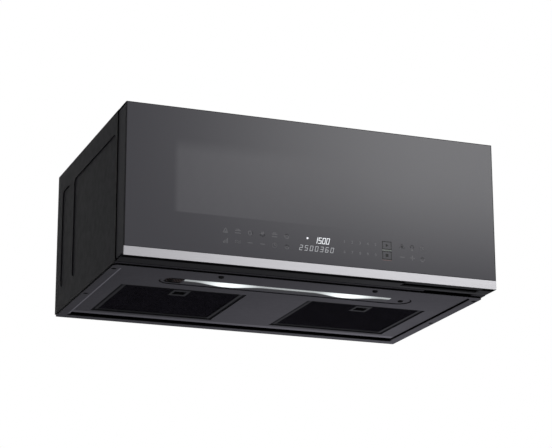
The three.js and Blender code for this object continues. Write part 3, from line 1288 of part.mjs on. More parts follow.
// Plate behind the front frame, with a ledge under each hook's nose and shelves for the switches.
function latchBoard() {
  const x = [latchX - LATCH_BOARD.left, latchX + LATCH_BOARD.right];
  const z = [hookHeights[0] - LATCH_BOARD.ends, hookHeights[1] + LATCH_BOARD.ends];
  const plate = block(x, [behindFrame, behindFrame + LATCH_BOARD.plate], z);
  const rear = behindFrame + LATCH_BOARD.depth;
  const webX = [x[1] - LATCH_BOARD.web, x[1]];
  const web = block(webX, [behindFrame, rear], z);
  const slots = hookHeights.map((height) => block(
    hookSlotX, grown([behindFrame, behindFrame + LATCH_BOARD.plate], 1), hookSlotZ(height),
  ));
  const ledges = hookHeights.map((height) => {
    const top = height - HOOK.height / 2 - HOOK.nose - LEDGE_CLEAR;
    return block(x, [behindFrame, hookTip - 1], [top - LATCH_BOARD.ledge_t, top]);
  });
  const shelves = hookHeights.map((height) => {
    const top = height - SWITCH.height / 2 - GAP;
    return block([switchX[0], x[1]], [switchFront, rear], [top - LATCH_BOARD.web, top]);
  });
  return joined(without(joined(plate, web), ...slots), ...ledges, ...shelves);
}

function interlockSwitch(z) {
  const body = block(switchX, [switchFront, switchFront + SWITCH.depth], about(z, SWITCH.height));
  const size = PLUNGER.size + 2 * GAP;
  const depth = PLUNGER.inside + PLUNGER.stroke + GAP;
  return body.subtract(block(about(latchX, size), [switchFront - 1, switchFront + depth], about(z, size)));
}

function switchPlunger(z) {
  const y = [plungerTip, switchFront + PLUNGER.inside];
  return block(about(latchX, PLUNGER.size), y, about(z, PLUNGER.size));
}

addPart(cabinet, 'latch_board', latchBoard(), 'blackPlastic');
['lower', 'upper'].forEach((name, i) => {
  addPart(cabinet, `interlock_switch_${name}`, interlockSwitch(hookHeights[i]), 'blackPlastic');
  addPart(cabinet, `switch_plunger_${name}`, switchPlunger(hookHeights[i]), 'whitePlastic');
});

// ---------------------------------------------------------------- origin

// The origin is the middle of the wall face.
cabinet.position.z = -CASE_H / 2;

export default microwave;
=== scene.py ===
"""An over-the-range microwave, seen from below and from its left, on white.

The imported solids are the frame: metres, +X to the right, +Y into the wall, +Z up, with the
origin in the middle of the wall face. Each section below finishes one piece, or like pieces.
"""

import math

import bmesh
import bpy
from mathutils import Matrix, Vector


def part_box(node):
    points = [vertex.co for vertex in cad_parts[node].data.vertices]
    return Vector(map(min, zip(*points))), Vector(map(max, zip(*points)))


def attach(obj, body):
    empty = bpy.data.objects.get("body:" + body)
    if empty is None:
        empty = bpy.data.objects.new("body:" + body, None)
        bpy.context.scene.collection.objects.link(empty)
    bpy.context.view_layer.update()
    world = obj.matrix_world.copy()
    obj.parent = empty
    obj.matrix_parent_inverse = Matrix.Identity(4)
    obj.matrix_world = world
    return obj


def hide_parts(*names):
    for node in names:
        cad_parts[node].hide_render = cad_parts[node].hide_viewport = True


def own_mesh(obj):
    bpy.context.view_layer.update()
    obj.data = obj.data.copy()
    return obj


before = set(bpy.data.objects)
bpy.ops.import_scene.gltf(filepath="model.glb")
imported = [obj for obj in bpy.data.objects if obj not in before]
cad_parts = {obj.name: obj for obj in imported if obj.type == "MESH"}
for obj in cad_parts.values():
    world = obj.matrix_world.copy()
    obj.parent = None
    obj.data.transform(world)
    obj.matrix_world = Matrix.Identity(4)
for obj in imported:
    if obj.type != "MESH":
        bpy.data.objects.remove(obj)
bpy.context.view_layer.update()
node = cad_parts
scene = bpy.context.scene
scene.view_settings.view_transform = "Standard"

# ---------------------------------------------------------------- camera
# The photograph was taken from about 4 m away with a long lens, from below the oven and to
# its left, so that the base, the left side and the whole door show.

CAMERA_AT = (-1.2949, -3.7165, -1.0639)
CAMERA_LIFT = 0.2841
CAMERA_ROLL = 0.0024
CAMERA_TURN = -0.3598
CAMERA_LENS_MM = 124.13
CAMERA_SENSOR_MM = 36

view = bpy.data.cameras.new("camera")
view.lens = CAMERA_LENS_MM
view.sensor_fit = "HORIZONTAL"
view.sensor_width = CAMERA_SENSOR_MM
camera = bpy.data.objects.new("camera", view)
camera.location = CAMERA_AT
camera.rotation_euler = (math.pi / 2 + CAMERA_LIFT, CAMERA_ROLL, CAMERA_TURN)
scene.collection.objects.link(camera)
scene.camera = camera

# ---------------------------------------------------------------- studio
# A white surround and a pale floor far below, soft lamps, one graded card that the glass
# mirrors at its upper right, and dark flags where the painted steel would mirror the white.

WORLD_LEVEL = 0.5
SHARP_RAYS = ("Is Camera Ray", "Is Glossy Ray", "Is Transmission Ray")
FLOOR_Z = -3.2
FLOOR_HALF = 20.0
FLOOR_PALE = (0.82, 0.82, 0.83)
FLOOR_DULL = (0.80, 0.80, 0.81)
OBJECT_MIDDLE = (0, -0.25, 0)
CARD_BETWEEN = ((0.2, -3.9, 0.3), (3.2, -3.9, 2.2))
CARD_GLOW_X = (0.45, 1.9)
CARD_GLOW_Z = (0.70, 1.34)
CARD_PEAK = 3.0
CLOTH_BLACK = (0.02, 0.02, 0.022)
FLAGS_BETWEEN = {
    "flag_left": ((-1.6, -1.2, -1.8), (-1.6, 5.5, 3.0)),
    "flag_below": ((-1.6, 0.3, -1.6), (5.0, 5.5, -1.6)),
    "flag_back": ((-1.6, 5.5, -1.6), (5.0, 5.5, 0.0)),
}


class Wire:
    """One socket of a node tree. Arithmetic on wires adds the Math nodes for it.

    The larger of two is written as one | other, as masks are joined.
    """

    def __init__(self, wiring, socket):
        self.wiring = wiring
        self.socket = socket

    def _math(self, operation, first, second=0.0):
        return self.wiring.add("Math", {"operation": operation}, {0: first, 1: second})

    def __add__(self, other):
        return self._math("ADD", self, other)

    __radd__ = __add__

    def __mul__(self, other):
        return self._math("MULTIPLY", self, other)

    __rmul__ = __mul__

    def __sub__(self, other):
        return self._math("SUBTRACT", self, other)

    def __rsub__(self, other):
        return self._math("SUBTRACT", other, self)

    def __or__(self, other):
        return self._math("MAXIMUM", self, other)

    __ror__ = __or__

    def __abs__(self):
        return self._math("ABSOLUTE", self)


class Wiring:
    """The node tree of a material or a world, while it is being wired."""

    def __init__(self, owner):
        owner.use_nodes = True
        self.owner = owner
        self.tree = owner.node_tree
        self.tree.nodes.clear()

    def add(self, kind, settings=None, sockets=None, output=0):
        """Adds any node: its settings first, then the value or the wire of each socket.

        The output node, which ends the tree, gives back its material or world.
        """
        made = self.tree.nodes.new("ShaderNode" + kind)
        for name, value in (settings or {}).items():
            setattr(made, name, value)
        for name, value in (sockets or {}).items():
            socket = made.inputs[name]
            if isinstance(value, Wire):
                self.tree.links.new(value.socket, socket)
            else:
                socket.default_value = (*value, 1.0) if socket.type == "RGBA" else value
        return Wire(self, made.outputs[output]) if made.outputs else self.owner

    def mixed(self, factor, low, high):
        """A colour from low to high."""
        return self.add("Mix", {"data_type": "RGBA"}, {0: factor, 6: low, 7: high}, 2)

    def eased(self, value, start, end):
        """0 before start, 1 after end, and a smooth step between them."""
        return self.add(
            "MapRange",
            {"interpolation_type": "SMOOTHSTEP"},
            {"Value": value, "From Min": start, "From Max": end},
        )

    def between(self, value, low, high, soft):
        """1 from low to high, with soft edges."""
        return self.eased(value, low - soft, low + soft) * (
            1 - self.eased(value, high - soft, high + soft)
        )

    def place(self):
        """The point on the object, in metres, and its x, y and z."""
        point = self.add("TexCoord", output="Object")
        return point, [self.add("SeparateXYZ", {}, {0: point}, axis) for axis in range(3)]

    def noise(self, point, scale, detail=2.0):
        return self.add("TexNoise", {}, {"Vector": point, "Scale": scale, "Detail": detail})

    def cells(self, point, scale):
        """Two random shades for each cell of a mosaic."""
        colour = self.add("TexVoronoi", {}, {"Vector": point, "Scale": scale}, "Color")
        return [self.add("SeparateColor", {}, {0: colour}, channel) for channel in range(2)]

    def bumps(self, height, strength, distance, invert=False):
        """A normal that follows a height, or its inverse."""
        sockets = {"Strength": strength, "Distance": distance, "Height": height}
        return self.add("Bump", {"invert": invert}, sockets)


def level(colour, share):
    """A colour at a share of its level."""
    return tuple(part * share for part in colour)


wiring = Wiring(bpy.data.worlds.new("surround"))
seen = sum(wiring.add("LightPath", output=ray) for ray in SHARP_RAYS)
shown = wiring.add("Math", {"operation": "MINIMUM"}, {0: seen, 1: 1.0})
background = wiring.add("Background", {}, {
    "Color": (1.0, 1.0, 1.0),
    "Strength": WORLD_LEVEL + shown * (1 - WORLD_LEVEL),
})
scene.world = wiring.add("OutputWorld", {}, {"Surface": background})


def sheet_object(name, corners, material):
    """One flat face, for the floor, a card or a flag."""
    mesh = bpy.data.meshes.new(name)
    mesh.from_pydata(corners, [], [tuple(range(len(corners)))])
    mesh.materials.append(material)
    made = bpy.data.objects.new(name, mesh)
    scene.collection.objects.link(made)
    return made


def new_material(name):
    return Wiring(bpy.data.materials.new(name))


def surfaced(wiring, sockets, kind="BsdfPrincipled"):
    """The material, with one shader as its surface."""
    surface = wiring.add(kind, {}, sockets)
    return wiring.add("OutputMaterial", {}, {"Surface": surface})


def floor_paint():
    wiring = new_material("floor_paint")
    point, _ = wiring.place()
    cloud = wiring.noise(point, scale=0.6)
    paint = wiring.mixed(cloud, FLOOR_DULL, FLOOR_PALE)
    return surfaced(wiring, {"Base Color": paint, "Roughness": 0.9})


sheet_object(
    "floor",
    [(x * FLOOR_HALF, y * FLOOR_HALF, FLOOR_Z) for x, y in ((-1, -1), (1, -1), (1, 1), (-1, 1))],
    floor_paint(),
)


def soft_lamp(name, at, aim, size, watts):
    lamp = bpy.data.lights.new(name, "AREA")
    lamp.shape = "RECTANGLE"
    lamp.size, lamp.size_y = size
    lamp.energy = watts
    made = bpy.data.objects.new(name, lamp)
    made.location = at
    made.rotation_euler = (Vector(aim) - Vector(at)).to_track_quat("-Z", "Y").to_euler()
    made.visible_camera = False
    made.visible_glossy = False
    scene.collection.objects.link(made)


soft_lamp("lamp_front_right", (2.6, -3.0, 1.6), OBJECT_MIDDLE, (2.0, 1.6), 70)
soft_lamp("lamp_below_right", (0.36, -0.01, -0.68), (0.1, -0.2, 0), (0.5, 0.5), 4.4)
soft_lamp("lamp_left", (-3.2, -1.8, 0.8), OBJECT_MIDDLE, (1.6, 1.6), 14)
soft_lamp("lamp_above", (0.4, -0.6, 3.0), OBJECT_MIDDLE, (2.4, 2.4), 40)
soft_lamp("lamp_behind", (0.6, 3.2, 0.9), OBJECT_MIDDLE, (2.4, 1.6), 60)


def card_glow():
    """Bright at the upper right, dark at the left and the bottom."""
    wiring = new_material("card_glow")
    _, (x, _, z) = wiring.place()
    glow = wiring.eased(x, *CARD_GLOW_X) * wiring.eased(z, *CARD_GLOW_Z)
    return surfaced(wiring, {"Color": 1 + glow * CARD_PEAK, "Strength": 1.0}, "Emission")


def dark_cloth():
    wiring = new_material("dark_cloth")
    return surfaced(wiring, {"Color": CLOTH_BLACK, "Strength": 1.0}, "Emission")


def only_mirrored(name, low, high, material):
    """A flat card, square to one axis, that shows in nothing but reflections."""
    _, along = (axis for axis in range(3) if low[axis] != high[axis])
    beside, opposite = list(low), list(high)
    beside[along], opposite[along] = high[along], low[along]
    card = sheet_object(name, [low, beside, high, opposite], material)
    card.visible_camera = False
    card.visible_diffuse = False
    card.visible_shadow = False
    card.visible_transmission = False


only_mirrored("graded_card", *CARD_BETWEEN, card_glow())
cloth = dark_cloth()
for name, (low, high) in FLAGS_BETWEEN.items():
    only_mirrored(name, low, high, cloth)

# ---------------------------------------------------------------- cabinet shells
# The wrap of top and sides, the face plate behind the door and the pan below are sheet steel
# with baked black or grey paint: a fine orange peel, faint clouds and a duller, scuffed skin.

CASE_BLACK = (0.0110, 0.0107, 0.0130)
FRAME_BLACK = (0.0275, 0.0265, 0.0310)
PAN_GREY = (0.045, 0.0438, 0.0508)
SHADE_BLACK = (0.0015, 0.0015, 0.0018)
FULL_SHADE = (0.85, 1.0)
# How much lighter than the paint a painted highlight is.
HIGHLIGHT_BRIGHT = 2.6
CASE_SIDE_X = (0.3755, 0.3760)
CASE_FIELD_WALL_X = (0.3782, 0.3793)
CASE_HEM_Y = (-0.4365, -0.0110)
CASE_HEM_Z = (-0.1436, 0.1478)
RIM_TOP_Z = (-0.1506, -0.1502)
STEP_TOP_Z = (-0.1477, -0.1472)
REAR_STEP_X = (-0.3600, 0.3600)
REAR_STEP_Y = (-0.0375, -0.0240)
REAR_EDGE_Y = (-0.0060, -0.0040)
REAR_EDGE_SHADE = 0.7
REAR_LIP_Y = (-0.0530, -0.0378)
REAR_LIP_HIGHLIGHT = 0.45
RIGHT_STEP_X = (0.3568, 0.3590)
FRONT_WALL_Y = (-0.4379, -0.4376)
FRONT_WALL_SHADE = 0.3
NOTCH_X = (0.2478, 0.3512)
BEHIND_FILTER_X = (0.0640, 0.3225)
BEHIND_FILTER_Y = (-0.0716, -0.0650)
BEHIND_FILTER_SHADE = 0.9
LEFT_BEND_X = (-0.3612, -0.3584)
LEFT_BEND_Y = (-0.4180, -0.0340)
FRAME_LIP_Z = (-0.1467, -0.1462)
FRAME_SHADE = 0.89


def shaded(wiring, paint, shade, black):
    """Paint and how metallic it is: in full shade it is also a black mirror, without sheen."""
    return wiring.mixed(shade, paint, black), wiring.eased(shade, *FULL_SHADE)


def painted_steel(name, colour, roughness, specular, zones=None):
    """zones gives a place's painted shade and painted highlight: for hems, steps and bends."""
    wiring = new_material(name)
    point, place = wiring.place()
    clouds = wiring.noise(point, scale=9.0, detail=3.0)
    grain = wiring.noise(point, scale=1500.0)
    smear = wiring.noise(point, scale=60.0, detail=4.0)
    paint = wiring.mixed(clouds * 0.7 + grain * 0.3, level(colour, 0.86), level(colour, 1.14))
    mirror = 0.0
    if zones:
        dark, bright = zones(wiring, *place)
        paint = wiring.mixed(bright, paint, level(colour, HIGHLIGHT_BRIGHT))
        paint, mirror = shaded(wiring, paint, dark, SHADE_BLACK)
    return surfaced(wiring, {
        "Base Color": paint,
        "Metallic": mirror,
        "Roughness": roughness - 0.08 + smear * 0.16,
        "Specular IOR Level": specular,
        "Normal": wiring.bumps(grain, strength=0.35, distance=0.00004),
    })


def case_zones(wiring, x, y, z):
    """Painted shade: dark hems round the sides, and dark walls round their pressed fields."""
    on_side = wiring.eased(abs(x), *CASE_SIDE_X)
    open_side = wiring.between(y, *CASE_HEM_Y, 0.0007) * wiring.between(z, *CASE_HEM_Z, 0.0004)
    field_wall = wiring.between(abs(x), *CASE_FIELD_WALL_X, 0.0001)
    return on_side * ((1 - open_side) | field_wall), 0.0


def pan_zones(wiring, x, y, z):
    """Painted shade in the step, front wall and filter gaps; painted highlights on bend and lip."""
    above_rim = wiring.eased(z, *RIM_TOP_Z)
    step = above_rim * (1 - wiring.eased(z, *STEP_TOP_Z))
    rear = wiring.between(y, *REAR_STEP_Y, 0.0004) * wiring.between(x, *REAR_STEP_X, 0.001)
    right = above_rim * wiring.between(x, *RIGHT_STEP_X, 0.0004)
    edge = wiring.eased(y, *REAR_EDGE_Y) * REAR_EDGE_SHADE
    notch = wiring.between(x, *NOTCH_X, 0.0005)
    wall = above_rim * (1 - wiring.eased(y, *FRONT_WALL_Y))
    wall = wall * (FRONT_WALL_SHADE + notch * (1 - FRONT_WALL_SHADE))
    gap_x = wiring.between(abs(x), *BEHIND_FILTER_X, 0.0005)
    gap = gap_x * wiring.between(y, *BEHIND_FILTER_Y, 0.0008) * BEHIND_FILTER_SHADE
    # The left bend and the rear lip are painted lighter: a painted highlight.
    bend = wiring.between(x, *LEFT_BEND_X, 0.0008) * wiring.between(y, *LEFT_BEND_Y, 0.002)
    lip = wiring.between(y, *REAR_LIP_Y, 0.0006) * above_rim * REAR_LIP_HIGHLIGHT
    return step | rear | right | edge | wall | gap, (1 - above_rim) * bend + lip


def frame_zones(wiring, x, y, z):
    """All but the lower lip is in the door's shade."""
    return wiring.eased(z, *FRAME_LIP_Z) * FRAME_SHADE, 0.0


def finish(names, material):
    for name in names:
        mesh = node[name].data
        mesh.materials.clear()
        mesh.materials.append(material)


def joined_faces(name):
    """Joins the corners of a solid's faces, so that edges can be rounded and curves shaded."""
    solid = node[name]
    solid.data.attributes.remove(solid.data.attributes["custom_normal"])
    solid.data.shade_smooth()
    corners = solid.modifiers.new("joined_corners", "WELD")
    corners.merge_threshold = 1e-6
    return solid


def soften(name, radius, segments=2):
    """Rounds the edges of a solid by a real folding or moulding radius."""
    solid = joined_faces(name)
    flat = solid.modifiers.new("flat_faces", "DECIMATE")
    flat.decimate_type = "DISSOLVE"
    flat.angle_limit = math.radians(0.5)
    edge = solid.modifiers.new("edge_radius", "BEVEL")
    edge.width = radius
    edge.segments = segments
    edge.limit_method = "ANGLE"
    edge.angle_limit = math.radians(35)
    edge.harden_normals = True


def shade_round(*names):
    """Shades turned surfaces as round and keeps their rims crisp."""
    for name in names:
        rim = joined_faces(name).modifiers.new("crisp_rims", "EDGE_SPLIT")
        rim.split_angle = math.radians(32)


finish(["outer_case"], painted_steel("case_paint", CASE_BLACK, 0.5, 0.12, case_zones))
finish(["front_frame"], painted_steel("frame_paint", FRAME_BLACK, 0.5, 0.06, frame_zones))
finish(["base_pan"], painted_steel("pan_paint", PAN_GREY, 0.5, 0.12, pan_zones))
soften("outer_case", 0.0006)
soften("front_frame", 0.0005)
soften("base_pan", 0.0007)

# ---------------------------------------------------------------- zinc-coated sheets
# The rear panel, the chassis and the ducts are left in zinc: flat crystals a few millimetres
# wide, each a little lighter or duller than the next, with faint rolling lines.

ZINC_LIGHT = (0.52, 0.53, 0.54)
ZINC_DARK = (0.36, 0.37, 0.385)


def zinc_coat():
    wiring = new_material("zinc_coat")
    point, (_, _, z) = wiring.place()
    shade, dull = wiring.cells(point, scale=130.0)
    lines = wiring.add("TexNoise", {"noise_dimensions": "1D"}, {"W": z * 2400, "Detail": 2.0})
    return surfaced(wiring, {
        "Base Color": wiring.mixed(shade * 0.8 + lines * 0.2, ZINC_DARK, ZINC_LIGHT),
        "Metallic": 0.85,
        "Roughness": 0.34 + dull * 0.16,
        "Normal": wiring.bumps(lines, strength=0.2, distance=0.00003),
    })


zinc = zinc_coat()
finish(
    ["rear_panel", "chassis_plate", "waveguide", "fan_shroud", "blower_housing", "exhaust_collar",
     "turntable_motor"],
    zinc,
)
soften("rear_panel", 0.0003)
soften("exhaust_collar", 0.0003)
shade_round("blower_housing", "fan_shroud", "turntable_motor", "waveguide")

# ---------------------------------------------------------------- screws
# Blackened steel screws with cross-recessed pan heads hold the base pan, the light's cover and
# the collar. The flange's screws are set flush in their holes, so that the rim lies flat.

SCREW_BLACK = (0.006, 0.006, 0.0065)
HEAD_SIDES = 32
HEAD_STEPS = 6
HEAD_WALL = 0.45
RECESS_WIDTH = 0.28
RECESS_LENGTH = 1.15
RECESS_FLOOR = 0.3
RECESS_TOP = 1.2
FLANGE_SCREW_AT = (0.3712, (-0.411, -0.211), -0.1493)
FLANGE_HEAD_R = 0.0050
PAN_SCREW_AT = (0.159, -0.408, -0.147)
LIGHT_SCREW_AT = (0.241, -0.346, -0.1459)
PAN_HEAD_R = 0.0054
COLLAR_SCREW_AT = (0.139, (-0.094, -0.021), 0.151)
COLLAR_HEAD_R = 0.003


def screw_steel(name, colour, roughness, metallic):
    wiring = new_material(name)
    point, _ = wiring.place()
    tint = wiring.noise(point, scale=420.0, detail=3.0)
    wear = wiring.noise(point, scale=2600.0)
    return surfaced(wiring, {
        "Base Color": wiring.mixed(tint, level(colour, 0.75), colour),
        "Metallic": metallic,
        "Roughness": roughness + wear * 0.2,
        "Specular IOR Level": 0.1,
    })


def box_mesh(low, high):
    """A box between two corners, as loose geometry."""
    block = bmesh.new()
    bmesh.ops.create_cube(block, size=1.0)
    size = [b - a for a, b in zip(low, high)]
    middle = [(a + b) / 2 for a, b in zip(low, high)]
    bmesh.ops.transform(
        block, matrix=Matrix.Translation(middle) @ Matrix.Diagonal((*size, 1)), verts=block.verts
    )
    return block


def turned(profile, sides):
    """A solid turned about Z from a profile of radius and height that starts on the axis."""
    made = bmesh.new()
    tip = made.verts.new((0, 0, profile[0][1]))
    rings = []
    for radius, height in profile[1:]:
        ring = []
        for side in range(sides):
            angle = 2 * math.pi * side / sides
            at = (radius * math.cos(angle), radius * math.sin(angle), height)
            ring.append(made.verts.new(at))
        rings.append(ring)
    for side in range(sides):
        after = (side + 1) % sides
        made.faces.new((tip, rings[0][side], rings[0][after]))
        for upper, lower in zip(rings, rings[1:]):
            made.faces.new((upper[side], lower[side], lower[after], upper[after]))
    made.faces.new(list(reversed(rings[-1])))
    return made


def object_from(shape, name):
    mesh = bpy.data.meshes.new(name)
    shape.to_mesh(mesh)
    shape.free()
    made = bpy.data.objects.new(name, mesh)
    scene.collection.objects.link(made)
    return made


def cross_head(dome):
    """A head of radius 1 on the plane z = 0. dome is the height of its crown."""
    profile = [(0, dome)]
    for step in range(1, HEAD_STEPS + 1):
        turn = step / HEAD_STEPS * math.pi / 2
        height = dome * (HEAD_WALL + (1 - HEAD_WALL) * math.cos(turn))
        profile.append((math.sin(turn), height))
    head = object_from(turned(profile + [(1, 0)], HEAD_SIDES), "plain_head")
    cutters = []
    for width, length in ((RECESS_WIDTH, RECESS_LENGTH), (RECESS_LENGTH, RECESS_WIDTH)):
        low = (-width / 2, -length / 2, dome * RECESS_FLOOR)
        high = (width / 2, length / 2, dome * RECESS_TOP)
        cutter = object_from(box_mesh(low, high), "recess")
        cut = head.modifiers.new("recess", "BOOLEAN")
        cut.operation = "DIFFERENCE"
        cut.object = cutter
        cutters.append(cutter)
    bpy.context.view_layer.update()
    cut_head = head.evaluated_get(bpy.context.evaluated_depsgraph_get())
    shape = bpy.data.meshes.new_from_object(cut_head)
    for spare in (head, *cutters):
        bpy.data.objects.remove(spare)
    shape.shade_smooth()
    shape.set_sharp_from_angle(angle=math.radians(40))
    return shape


DOMED_HEAD = cross_head(0.5)
FLUSH_HEAD = cross_head(0.32)
TALL_HEAD = cross_head(0.7)


def screw(name, shape, at, radius, down=True, twist=0.0):
    """Sets a head at a place, with its crown down or up and its cross twisted."""
    made = bpy.data.objects.new(name, shape.copy())
    flip = Matrix.Rotation(math.pi if down else 0, 4, "X")
    turn = flip @ Matrix.Rotation(twist, 4, "Z") @ Matrix.Scale(radius, 4)
    made.data.transform(Matrix.Translation(at) @ turn)
    made.data.materials.clear()
    made.data.materials.append(dark_screw)
    scene.collection.objects.link(made)
    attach(made, "cabinet")
    return made


dark_screw = screw_steel("dark_screw", SCREW_BLACK, 0.45, 0.2)
for side, side_name in ((-1, "left"), (1, "right")):
    for place, place_name in zip(FLANGE_SCREW_AT[1], ("front", "middle")):
        at = (side * FLANGE_SCREW_AT[0], place, FLANGE_SCREW_AT[2])
        name = f"flange_screw_{place_name}_{side_name}"
        screw(name, FLUSH_HEAD, at, FLANGE_HEAD_R, twist=place)
    at = (side * PAN_SCREW_AT[0], *PAN_SCREW_AT[1:])
    screw(f"pan_screw_{side_name}", TALL_HEAD, at, PAN_HEAD_R, twist=0.5 + side)
    at = (side * LIGHT_SCREW_AT[0], *LIGHT_SCREW_AT[1:])
    light_screw = screw(f"light_cover_screw_{side_name}", DOMED_HEAD, at, PAN_HEAD_R, twist=side)
    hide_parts(f"light_screw_{side_name}")
    for place, place_name in zip(COLLAR_SCREW_AT[1], ("front", "rear")):
        at = (side * COLLAR_SCREW_AT[0], place, COLLAR_SCREW_AT[2])
        name = f"collar_screw_{place_name}_{side_name}"
        screw(name, DOMED_HEAD, at, COLLAR_HEAD_R, down=False, twist=place)

# ---------------------------------------------------------------- grease filters
# Each is a cassette of expanded aluminium, blackened, crimped in a folded rim, with a pressed
# cup near the front edge that a finger pulls back to free it.

FILTER_BLACK = (0.004, 0.004, 0.005)
# The rim's painted highlight and its paler pull are this grey.
RIM_PALE = (0.030, 0.030, 0.034)
STRAND_GREY = (0.034, 0.030, 0.044)
FILTER_STRAND = 0.00055
FILTER_CELL = (0.010, 0.005)
FILTER_BAND = 0.0121
FILTER_END_BAND = 0.0161
MESH_LIFT = 0.0002
MESH_THICK = 0.0006
PULL_HALF = 0.018
PULL_TO_BACK = 0.045
FILTER_MIDDLE_X = 0.19325
PALE_SOFT = 0.0005
RIM_SIDE = (0.1168, 0.1227)
RIM_REAR = (-0.0800, -0.0725)
RIM_REAR_HIGHLIGHT = 0.4
PULL_Y = (-0.2768, -0.2340)
CUP_Y = (-0.2650, -0.2420)
CUP_HALF = 0.0125


def filter_steel(name, colour, roughness, paler=None):
    """Its last argument gives the painted highlight on the rim, and the paler pull."""
    wiring = new_material(name)
    point, place = wiring.place()
    film = wiring.noise(point, scale=30.0, detail=4.0)
    grain = wiring.noise(point, scale=1800.0)
    paint = wiring.mixed(film, level(colour, 0.7), level(colour, 1.3))
    if paler:
        paint = wiring.mixed(paler(wiring, *place), paint, RIM_PALE)
    return surfaced(wiring, {
        "Base Color": paint,
        "Metallic": 0.3,
        "Roughness": roughness + film * 0.15,
        "Specular IOR Level": 0.2,
        "Normal": wiring.bumps(grain, strength=0.3, distance=0.00004),
    })


def rim_highlight_and_pull(wiring, x, y, z):
    """A painted highlight along the rim's sides and rear, and a paler pull but for its cup."""
    off = abs(abs(x) - FILTER_MIDDLE_X)

    def up_to(value, end):
        return 1 - wiring.eased(value, end - 2 * PALE_SOFT, end)

    sides = wiring.between(off, *RIM_SIDE, PALE_SOFT) * up_to(y, RIM_REAR[1] + 2 * PALE_SOFT)
    rear = wiring.between(y, *RIM_REAR, PALE_SOFT) * up_to(off, RIM_SIDE[1] + 2 * PALE_SOFT)
    pull = wiring.between(y, *PULL_Y, PALE_SOFT) * up_to(off, PULL_HALF)
    cup = wiring.between(y, *CUP_Y, PALE_SOFT) * up_to(off, CUP_HALF)
    return sides | rear * RIM_REAR_HIGHLIGHT | pull * (1 - cup)


def expanded_metal(name, low, high):
    """Diamonds slit and stretched from one sheet, cut square at the rim."""
    long_half, short_half = FILTER_CELL[0] / 2, FILTER_CELL[1] / 2
    columns = int((high[0] - low[0]) / long_half) + 3
    rows = int((high[1] - low[1]) / short_half) + 3
    mesh = bmesh.new()
    corners = {}

    def corner(i, j):
        if (i, j) not in corners:
            at = (low[0] + i * long_half, low[1] + j * short_half, low[2])
            corners[i, j] = mesh.verts.new(at)
        return corners[i, j]

    for i in range(-1, columns):
        for j in range(-1, rows):
            if (i + j) % 2 == 0:
                around = ((i - 1, j), (i, j - 1), (i + 1, j), (i, j + 1))
                mesh.faces.new([corner(*spot) for spot in around])
    holes = list(mesh.faces)
    bmesh.ops.inset_individual(mesh, faces=holes, thickness=FILTER_STRAND)
    bmesh.ops.delete(mesh, geom=holes, context="FACES_ONLY")
    cuts = ((low, (-1, 0, 0)), (low, (0, -1, 0)), (high, (1, 0, 0)), (high, (0, 1, 0)))
    for place, away in cuts:
        everything = mesh.verts[:] + mesh.edges[:] + mesh.faces[:]
        bmesh.ops.bisect_plane(
            mesh, geom=everything, plane_co=place, plane_no=away, clear_outer=True
        )
    made = object_from(mesh, name)
    depth = made.modifiers.new("sheet", "SOLIDIFY")
    depth.thickness = MESH_THICK
    depth.offset = 1.0
    return made


filter_rim = filter_steel("filter_rim", FILTER_BLACK, 0.5, rim_highlight_and_pull)
filter_strands = filter_steel("filter_strands", STRAND_GREY, 0.4)
for side in ("left", "right"):
    cassette = f"grease_filter_{side}"
    finish([cassette], filter_rim)
    soften(cassette, 0.0008)
    low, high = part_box(cassette)
    mesh_piece = expanded_metal(
        f"filter_mesh_{side}",
        (low[0] + FILTER_BAND, low[1] + FILTER_END_BAND, low[2] + MESH_LIFT),
        (high[0] - FILTER_BAND, high[1] - FILTER_END_BAND, low[2] + MESH_LIFT),
    )
    middle = (low[0] + high[0]) / 2
    pull_back = low[1] + FILTER_END_BAND + PULL_TO_BACK
    under_pull = bmesh.new()
    under_pull.from_mesh(mesh_piece.data)
    covered = [
        vert for vert in under_pull.verts
        if abs(vert.co.x - middle) < PULL_HALF and vert.co.y < pull_back
    ]
    bmesh.ops.delete(under_pull, geom=covered, context="VERTS")
    under_pull.to_mesh(mesh_piece.data)
    under_pull.free()
    mesh_piece.data.materials.append(filter_strands)
    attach(mesh_piece, f"filter_{side}")

# ---------------------------------------------------------------- cooktop light
# A painted cover across the front of the pan holds a frosted lens. Two groups of lamps on the
# board behind it make two bright patches in the lens.

LENS_MILK = ((0.30, 0.31, 0.31), (0.36, 0.37, 0.37))
LENS_SHADE_GREY = (0.045, 0.045, 0.05)
LENS_LINE = (0.09, 0.10, 0.105)
LENS_BRIGHT = (0.86, 0.92, 0.93)
LENS_GLOW_X = 0.124
LENS_GLOW_REACH = (0.002, 0.074)
LENS_FRONT_Y = -0.361
LENS_DEEP = 0.030
LIT_BACK = (0.28, 0.44)
PATCH_BACK = 0.62
LIGHT_AXIS_Y = -0.346
LIGHT_AXIS_HALF = 0.238
COVER_LINE_R = (0.0215, 0.0225)
PRINT_R = (0.0165, 0.0185)
PRINT_X = (-0.2520, -0.2170)
PRINT_DARK = 0.93
ENGRAVED_GREY = (0.055, 0.038, 0.038)
ENGRAVED_FROM = (-0.2475, -0.3555, -0.14572)
ENGRAVED_DOTS = (6, 4)
ENGRAVED_PITCH = 0.0055
ENGRAVED_R = 0.0016
ENGRAVED_SIDES = 12
ENGRAVED_DEPTH = 0.0001
BOARD_GREEN = ((0.02, 0.11, 0.05), (0.025, 0.13, 0.06))
BOARD_TIN = (0.25, 0.3, 0.26)
BOARD_PARTS = ((0.02, 0.02, 0.022), (0.12, 0.11, 0.10))
PARTS_FROM = (0.0002, 0.0004)
LAMP_BOARD_FACE_Z = -0.1374


